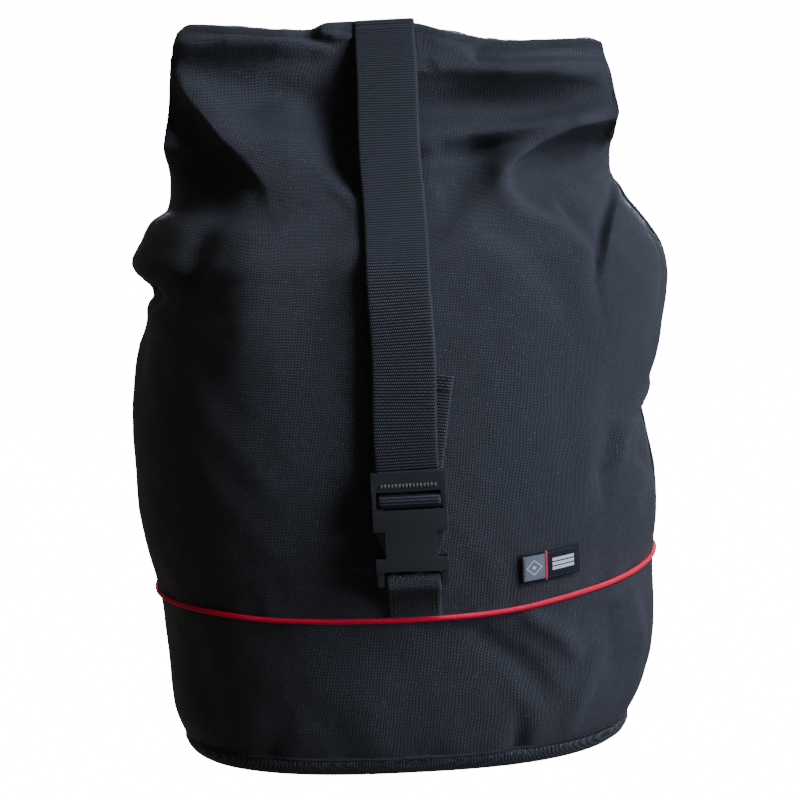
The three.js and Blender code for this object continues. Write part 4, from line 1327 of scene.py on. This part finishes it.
def back_pad(material, binding, sewing):
    """The padded back: a crowned cushion sewn down in channels, with a bound edge."""
    z = np.linspace(PAD["low"], PAD["high"], 60)
    shares = np.linspace(-1, 1, 64)
    angles = 90 - shares[:, None] * pad_angle(z)[None, :]
    under = tube(angles, np.broadcast_to(z, angles.shape), -PAD["clearance"])
    up = 2 * (z - PAD["low"]) / (PAD["high"] - PAD["low"]) - 1
    drop = 1 - 0.80 * np.maximum(np.abs(shares[:, None]) ** 10, np.abs(up[None, :]) ** 14)
    normals = grid_normals(tube(angles[::-1], np.broadcast_to(z, angles.shape)))[::-1]
    over = under + normals * ((PAD["proud"] - 0.004) * drop)[..., None]
    obj = sandwich("back_pad_cushion", over, under, material)
    mend(obj.data)
    swell(obj, 4.0, 0.0045, lambda rest: smoothstep(0.003, 0.008, pad_depth(rest)),
          lambda rest: np.tile([0.0, 1.0, 0.0], (len(rest), 1)))
    refine(obj)
    co = mesh_points(obj)
    seams = np.zeros(len(co))
    inside = smoothstep(0.150, 0.165, co[:, 2]) * smoothstep(0.422, 0.405, co[:, 2])
    for height in PAD_CHANNELS:
        seams = np.maximum(seams, bell(co[:, 2] - rise_of(co[:, 0], co[:, 2]) - height, CHANNEL_WIDTH))
    for x in PAD_COLUMNS:
        seams = np.maximum(seams, bell(co[:, 0] - x, CHANNEL_WIDTH) * inside)
    deep = smoothstep(0.0045, 0.010, pad_depth(co))
    co[:, 1] -= CHANNEL_DEPTH * seams * deep
    obj.data.vertices.foreach_set("co", co.ravel())
    set_cloth_coordinates(obj, lambda p: p[:, 0], lambda p: p[:, 2])
    place(obj, "bag", "bag_fabric", "back_pad")
    edge = []
    for share_x, share_z in loop_of_shares(300):
        height = PAD["low"] + (share_z + 1) / 2 * (PAD["high"] - PAD["low"])
        edge.append(tube(90 - share_x * pad_angle(height), height, -PAD["clearance"] - 0.0026))
    cord = rope("back_pad_binding", np.array(edge), 0.0024, binding, 10, closed=True)
    place(cord, "bag", "binding_tape")
    cover = co[pad_depth(co) > 0.0035]
    rows = [row_on(cover, np.linspace(-0.118, 0.126, 60), np.full(60, height)) for height in PAD_CHANNELS]
    rows += [row_on(cover, np.full(60, x), np.linspace(0.158, 0.414, 60)) for x in PAD_COLUMNS]
    stitches("back_pad_stitches", rows, sewing, "bag", "bag_fabric")


def row_on(cover, x, z):
    """A line of points that lies on the points of a cover, seen from behind."""
    z = z + rise_of(x, z)
    gaps = (cover[None, :, 0] - x[:, None]) ** 2 + (cover[None, :, 2] - z[:, None]) ** 2
    share = np.exp(-gaps / 0.0016 ** 2)
    y = (share * cover[None, :, 1]).sum(1) / share.sum(1)
    return np.stack([x, y + 0.0003, z], axis=1), np.tile([0.0, 1.0, 0.0], (len(x), 1))


def loop_of_shares(count):
    """Points round a square with rounded corners, from -1 to 1 both ways."""
    turn = np.linspace(0, 2 * math.pi, count, endpoint=False)
    return zip(signed_power(np.cos(turn), 0.24), signed_power(np.sin(turn), 0.24))


def shoulder_pad(name, line, wide, out, width, thickness, cloth):
    """The stuffed cover of a shoulder strap, which swells to both sides of the middle of the strap."""
    turn = np.linspace(0, 2 * math.pi, 36, endpoint=False)
    u = signed_power(np.cos(turn), 0.7)
    v = signed_power(np.sin(turn), 0.8)
    soft = 0.72
    loops = (line[:, None] + wide[:, None] * (u[None, :, None] * (width / 2 - 0.001)[:, None, None])
             + out[:, None] * (v[None, :, None] * (soft * thickness / 2)[:, None, None]))
    pad = loops_object("shoulder_pad_" + name, loops, cloth, np.zeros((len(line), 36, 2)))

    def nearest(rest):
        return ((rest[:, None, :] - line[None, ::3, :]) ** 2).sum(-1).argmin(1) * 3

    def across_of(rest):
        i = nearest(rest)
        return ((rest - line[i]) * wide[i]).sum(1)

    def outward(rest):
        i = nearest(rest)
        return out[i] * np.sign(((rest - line[i]) * out[i]).sum(1))[:, None]

    swell(pad, 5.0, 0.0016, lambda rest: smoothstep(1.0, 0.80, np.abs(across_of(rest)) / 0.026), outward)
    refine(pad)
    set_cloth_coordinates(pad, across_of, lambda p: p[:, 2])
    place(pad, "bag", "bag_fabric", "shoulder_strap_" + name)


def shoulder_strap(name, side, cloth, binding, narrow, sewing):
    """A padded strap from the yoke to its ladder lock, with its bound edge and the webbing along it."""
    path = np.array([(72, 112, 461), (72, 128, 455), (76, 146, 430), (86, 157, 376), (98, 160, 310),
                     (110, 156, 245), (117, 148, 200)]) / 1000 * [side, 1, 1]
    line = spline(path, 110)
    share = np.linspace(0, 1, 110)
    width = 0.052 * (1 - 0.3 * np.maximum(share - 0.55, 0) / 0.45)
    thickness = 0.0085 * (1 - 0.5 * np.maximum(0.12 - share, 0) / 0.12)
    along = unit(np.gradient(line, axis=0))
    wide = square_to(along, np.tile([1.0, side * 0.12, 0.0], (110, 1)))
    out = np.cross(along, wide)
    out *= np.sign(out[:, 1:2].mean())
    shoulder_pad(name, line, wide, out, width, thickness, cloth)
    half = wide * (width / 2)[:, None]
    edges = np.concatenate([line + half, (line - half)[::-1]])
    cord = rope("shoulder_binding_" + name, spline(edges[::4], 320), 0.0019, binding, 10, closed=True)
    place(cord, "bag", "binding_tape")
    free = slice(6, -4)
    top = (line + out * (thickness / 2 + 0.0012)[:, None])[free]
    strap = ribbon("shoulder_webbing_" + name, top, wide[free], NARROW_WIDTH, 0.0014, narrow, across=12)
    place(strap, "bag", "narrow_webbing")
    rows = [(top + wide[free] * edge * 0.0100 + out[free] * 0.0008, out[free]) for edge in (-1, 1)]
    stitches("shoulder_stitches_" + name, rows, sewing, "bag", "narrow_webbing")


def harness_side(name, side, cloth, binding, narrow, plastic, sewing):
    """One shoulder strap with its adjuster, lower webbing and corner wing."""
    shoulder_strap(name, side, cloth, binding, narrow, sewing)
    softened("ladder_lock_" + name, plastic, 0.0007, "lock_" + name)
    loop = spline([(0.1470, 0.2060), (0.1492, 0.2000), (0.1507, 0.1965), (0.1509, 0.1922), (0.1494, 0.1899),
                   (0.1460, 0.1891), (0.1434, 0.1899), (0.1420, 0.1924), (0.1420, 0.1965), (0.1438, 0.2000),
                   (0.1462, 0.2060)], 60)
    loop = strap_points(loop, side * LOCK_X)
    obj = ribbon("lock_loop_" + name, loop, ACROSS, NARROW_WIDTH - 0.002, 0.0012, narrow, across=12)
    place(obj, "bag", "narrow_webbing")
    start = tube(WING_ANGLE if side > 0 else 180 - WING_ANGLE, 0.054, -0.007)
    lower = np.array([(180, 86, 74), (150, 119, 116), (124, 137.6, 160), (119.6, 140.6, 189)]) / 1000
    lower = spline(np.concatenate([[start], lower * [side, 1, 1]]), 110)
    lean = np.linspace(0, 1, 110)
    wide = np.stack([np.ones(110), side * (-0.75 + 0.72 * lean), -side * 0.12 * (1 - lean)], axis=1)
    obj = ribbon("lower_strap_" + name, lower, wide, NARROW_WIDTH, WEBBING, narrow, across=12)
    place(obj, "bag", "narrow_webbing", "lower_webbing_" + name)
    tail = spline([(0.1491, 0.188), (0.1496, 0.182), (0.150, 0.170), (0.151, 0.150), (0.1516, 0.128)], 60)
    tail = strap_points(tail, side * LOCK_X)
    obj = ribbon("adjuster_end_" + name, tail, ACROSS, NARROW_WIDTH, WEBBING, narrow, across=12)
    place(obj, "lock_" + name, "narrow_webbing", "adjuster_tail_" + name)
    corner_wing(name, side, cloth, sewing)


def corner_wing(name, side, cloth, sewing):
    """Folded triangle of cloth sewn to the lower corner, which holds the lower webbing."""
    middle = WING_ANGLE if side > 0 else 180 - WING_ANGLE
    spread = np.linspace(-8, 8, 22)
    shares = np.linspace(-0.5, 0.5, 22)
    heights = 0.050 + shares[None, :] * (0.050 - 0.0032 * np.abs(spread))[:, None]
    points = tube((middle + spread)[:, None] + 0 * heights, heights)
    normals = grid_normals(points)
    rim = np.minimum(1 - np.abs(spread / 8)[:, None], 1 - np.abs(shares * 2)[None, :])
    points += normals * (0.0026 + 0.0014 * smoothstep(0, 0.3, rim))[..., None]
    obj = panel("corner_wing_cloth_" + name, points, cloth, 11)
    place(obj, "bag", "bag_fabric", "corner_wing_" + name)
    rows = [(points[:, 2], normals[:, 2]), (points[:, -3], normals[:, -3]),
            (points[11, 2:-2], normals[11, 2:-2])]
    stitches("corner_stitches_" + name, rows, sewing, "bag", "bag_fabric", length=0.0026)


def grab_handle(tape, sewing):
    """The hanging loop of webbing at the top of the back, and the two tapes that hold it."""
    droop = math.radians(62)
    down = np.array([0, math.cos(droop), -math.sin(droop)])
    wide = np.array([0, math.sin(droop), math.cos(droop)])
    shares = np.linspace(-1, 1, 9)
    points = np.array([[STRAP_X + s * 0.038, 0.120, 0.462] + down * (0.044 * (1 - abs(s) ** 3) + 0.001)
                       for s in shares])
    loop = ribbon("grab_loop_webbing", spline(points, 120), wide, 0.022, 0.0026, tape, across=14)
    place(loop, "handle", "narrow_webbing", "grab_handle")
    for name, side in (("left", -1), ("right", 1)):
        centre = 90 - side * 12
        angles = np.linspace(centre - 2.4, centre + 2.4, 12)
        heights = np.linspace(0.457, 0.471, 12)
        points, normals = surface_patch(angles, heights, 0.0032)
        obj = panel("handle_tape_" + name, points, tape, 6, thickness=0.0018)
        place(obj, "bag", "narrow_webbing", "handle_anchor_" + name)
        corners = [(points[2, 1:-1], normals[2, 1:-1]), (points[-3, 1:-1], normals[-3, 1:-1])]
        stitches("handle_stitches_" + name, corners, sewing, "bag", "narrow_webbing", length=0.0022)


def yoke_tape(tape, sewing):
    """The wide tape across the top of the back panel, which carries the harness."""
    angles = even_angles(22, 158, 130, YOKE_Z)
    heights = np.linspace(YOKE_Z - 0.008, YOKE_Z + 0.008, 12)
    points, normals = surface_patch(angles, heights, 0.0030)
    obj = panel("yoke_band", points, tape, 65, thickness=0.0014)
    place(obj, "bag", "narrow_webbing", "yoke_tape")
    rows = [(points[:, 1], normals[:, 1]), (points[:, -2], normals[:, -2])]
    stitches("yoke_stitches", rows, sewing, "bag", "narrow_webbing")


# ---- Camera, light and floor -----------------------------------------------------------------

def camera():
    data = bpy.data.cameras.new("camera")
    data.lens = LENS
    data.sensor_width = 36
    obj = added("camera", data)
    tilt = Matrix.Rotation(math.radians(90 - PITCH), 4, "X")
    roll = Matrix.Rotation(math.radians(-ROLL_ANGLE), 4, "Z")
    obj.matrix_world = Matrix.Translation(EYE) @ tilt @ roll
    bpy.context.scene.camera = obj


def softbox(name, location, target, size, power, color, spread=180):
    data = bpy.data.lights.new(name, "AREA")
    data.shape = "RECTANGLE"
    data.size, data.size_y = size
    data.energy = power
    data.color = color
    data.spread = math.radians(spread)
    obj = added(name, data)
    obj.location = location
    obj.rotation_mode = "QUATERNION"
    obj.rotation_quaternion = (Vector(target) - Vector(location)).to_track_quat("-Z", "Y")


def surroundings():
    world = bpy.data.worlds.new("studio")
    bpy.context.scene.world = world
    world.use_nodes = True
    tree = world.node_tree
    room = tree.nodes["Background"]
    room.inputs["Color"].default_value = (1.0, 0.94, 0.88, 1)
    room.inputs["Strength"].default_value = ROOM_LIGHT
    backdrop = tree.nodes.new("ShaderNodeBackground")
    backdrop.inputs["Color"].default_value = (1.0, 1.0, 1.0, 1)
    backdrop.inputs["Strength"].default_value = BACKDROP_LIGHT
    seen = tree.nodes.new("ShaderNodeLightPath")
    choice = tree.nodes.new("ShaderNodeMixShader")
    tree.links.new(seen.outputs["Is Camera Ray"], choice.inputs[0])
    tree.links.new(room.outputs[0], choice.inputs[1])
    tree.links.new(backdrop.outputs[0], choice.inputs[2])
    tree.links.new(choice.outputs[0], tree.nodes["World Output"].inputs["Surface"])
    softbox("window_right", (1.86, -0.76, 1.62), (0, 0, 0.34), (1.0, 1.2), WINDOW_POWER, DAYLIGHT)
    softbox("low_right", (1.78, -0.98, 0.20), (0.10, 0, 0.10), (0.8, 0.6), LOW_POWER, DAYLIGHT, spread=60)
    # Only the back of the bag sees this one, so that it isn't black from behind.
    softbox("behind", (0.10, 2.10, 0.85), (0, 0.1, 0.30), (1.5, 1.1), BEHIND_POWER, (0.80, 0.87, 1.0))


def floor(material):
    corners = [(30.0 * x, 30.0 * y, 0) for x, y in ((-1, -1), (1, -1), (1, 1), (-1, 1))]
    mesh = bpy.data.meshes.new("floor")
    mesh.from_pydata(corners, [], [(0, 1, 2, 3)])
    mesh.materials.append(material)
    obj = added("floor", mesh)
    obj.location.z = -0.0004
    obj.visible_diffuse = False
    obj.visible_glossy = False


# ---- Everything together ---------------------------------------------------------------------

def paint_cad(name, material):
    """Better material for a CAD node that is shown as it is."""
    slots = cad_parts[name].data.materials
    slots.clear()
    slots.append(material)


def build():
    cloth = bag_fabric("bag_fabric", (0.0009, 0.0009, 0.0010), (0.049, 0.050, 0.058), 0.5)
    tab_cloth = bag_fabric("tab_fabric", (0.0016, 0.0016, 0.0018), (0.040, 0.040, 0.042), 0.4)
    binding = webbing("binding_tape", (0.0006, 0.0006, 0.0008), (0.004, 0.0045, 0.006), 0.5, 0.0009, 0.0009,
                      0.00012)
    wide = webbing("wide_webbing", (0.0012, 0.0013, 0.0016), (0.036, 0.038, 0.043), STRAP_WIDTH / 2)
    narrow = webbing("narrow_webbing", (0.0012, 0.0013, 0.0016), (0.032, 0.034, 0.038), 0.012, 0.0016, 0.0013)
    plastic = moulded_plastic("buckle_plastic", (0.0150, 0.0155, 0.0165), (0.045, 0.046, 0.050))
    # The ladder teeth get a far lighter copy of the buckle plastic: a painted highlight where they catch the
    # light.
    teeth = moulded_plastic("lit_tooth_plastic", (0.10, 0.105, 0.11), (0.2, 0.2, 0.21))
    sewing = thread("sewing_thread", (0.012, 0.013, 0.016))
    red = piping_cloth("red_piping")
    label = woven_label("woven_label")
    stiff = board("stiffener_sheet")

    body_front(cloth)
    back_cloth(cloth)
    upper_back_cloth(cloth)
    lower_band_cloth(cloth)
    base_cloth(cloth)
    welt = seam_ring("base_welt_cord", BASE_SEAM_Z, -0.0002, 0.0017, tab_cloth, 10, True)
    place(welt, "bag", "binding_tape", "base_welt")
    pipe = seam_ring("piping_cord", PIPING_Z, 0.0010, 0.0021, red, 12, False)
    place(pipe, "bag", "red_piping", "piping")
    side_binding("left", LEFT_SEAM, binding)
    side_binding("right", RIGHT_SEAM, binding)
    label_patch(label, sewing)
    roll_cloth(cloth)
    roll_board(stiff)
    strap_front(wide)
    strap_top(wide)
    strap_behind(wide)
    strap_loop(wide)
    strap_tail(wide, sewing)
    buckle_tab(tab_cloth, sewing)
    softened("buckle_female", plastic, 0.0008, "bag")
    softened("buckle_male_frame", plastic, 0.0006, "buckle_male")
    softened("buckle_arm_left", plastic, 0.0006, "arm_left")
    softened("buckle_arm_right", plastic, 0.0006, "arm_right")
    ladder_teeth(teeth)
    back_pad(cloth, binding, sewing)
    yoke_tape(narrow, sewing)
    grab_handle(narrow, sewing)
    for name, side in (("left", -1), ("right", 1)):
        harness_side(name, side, cloth, binding, narrow, plastic, sewing)
    paint_cad("base_stiffener", stiff)
    floor(floor_paper("floor_paper"))


camera()
surroundings()
build()
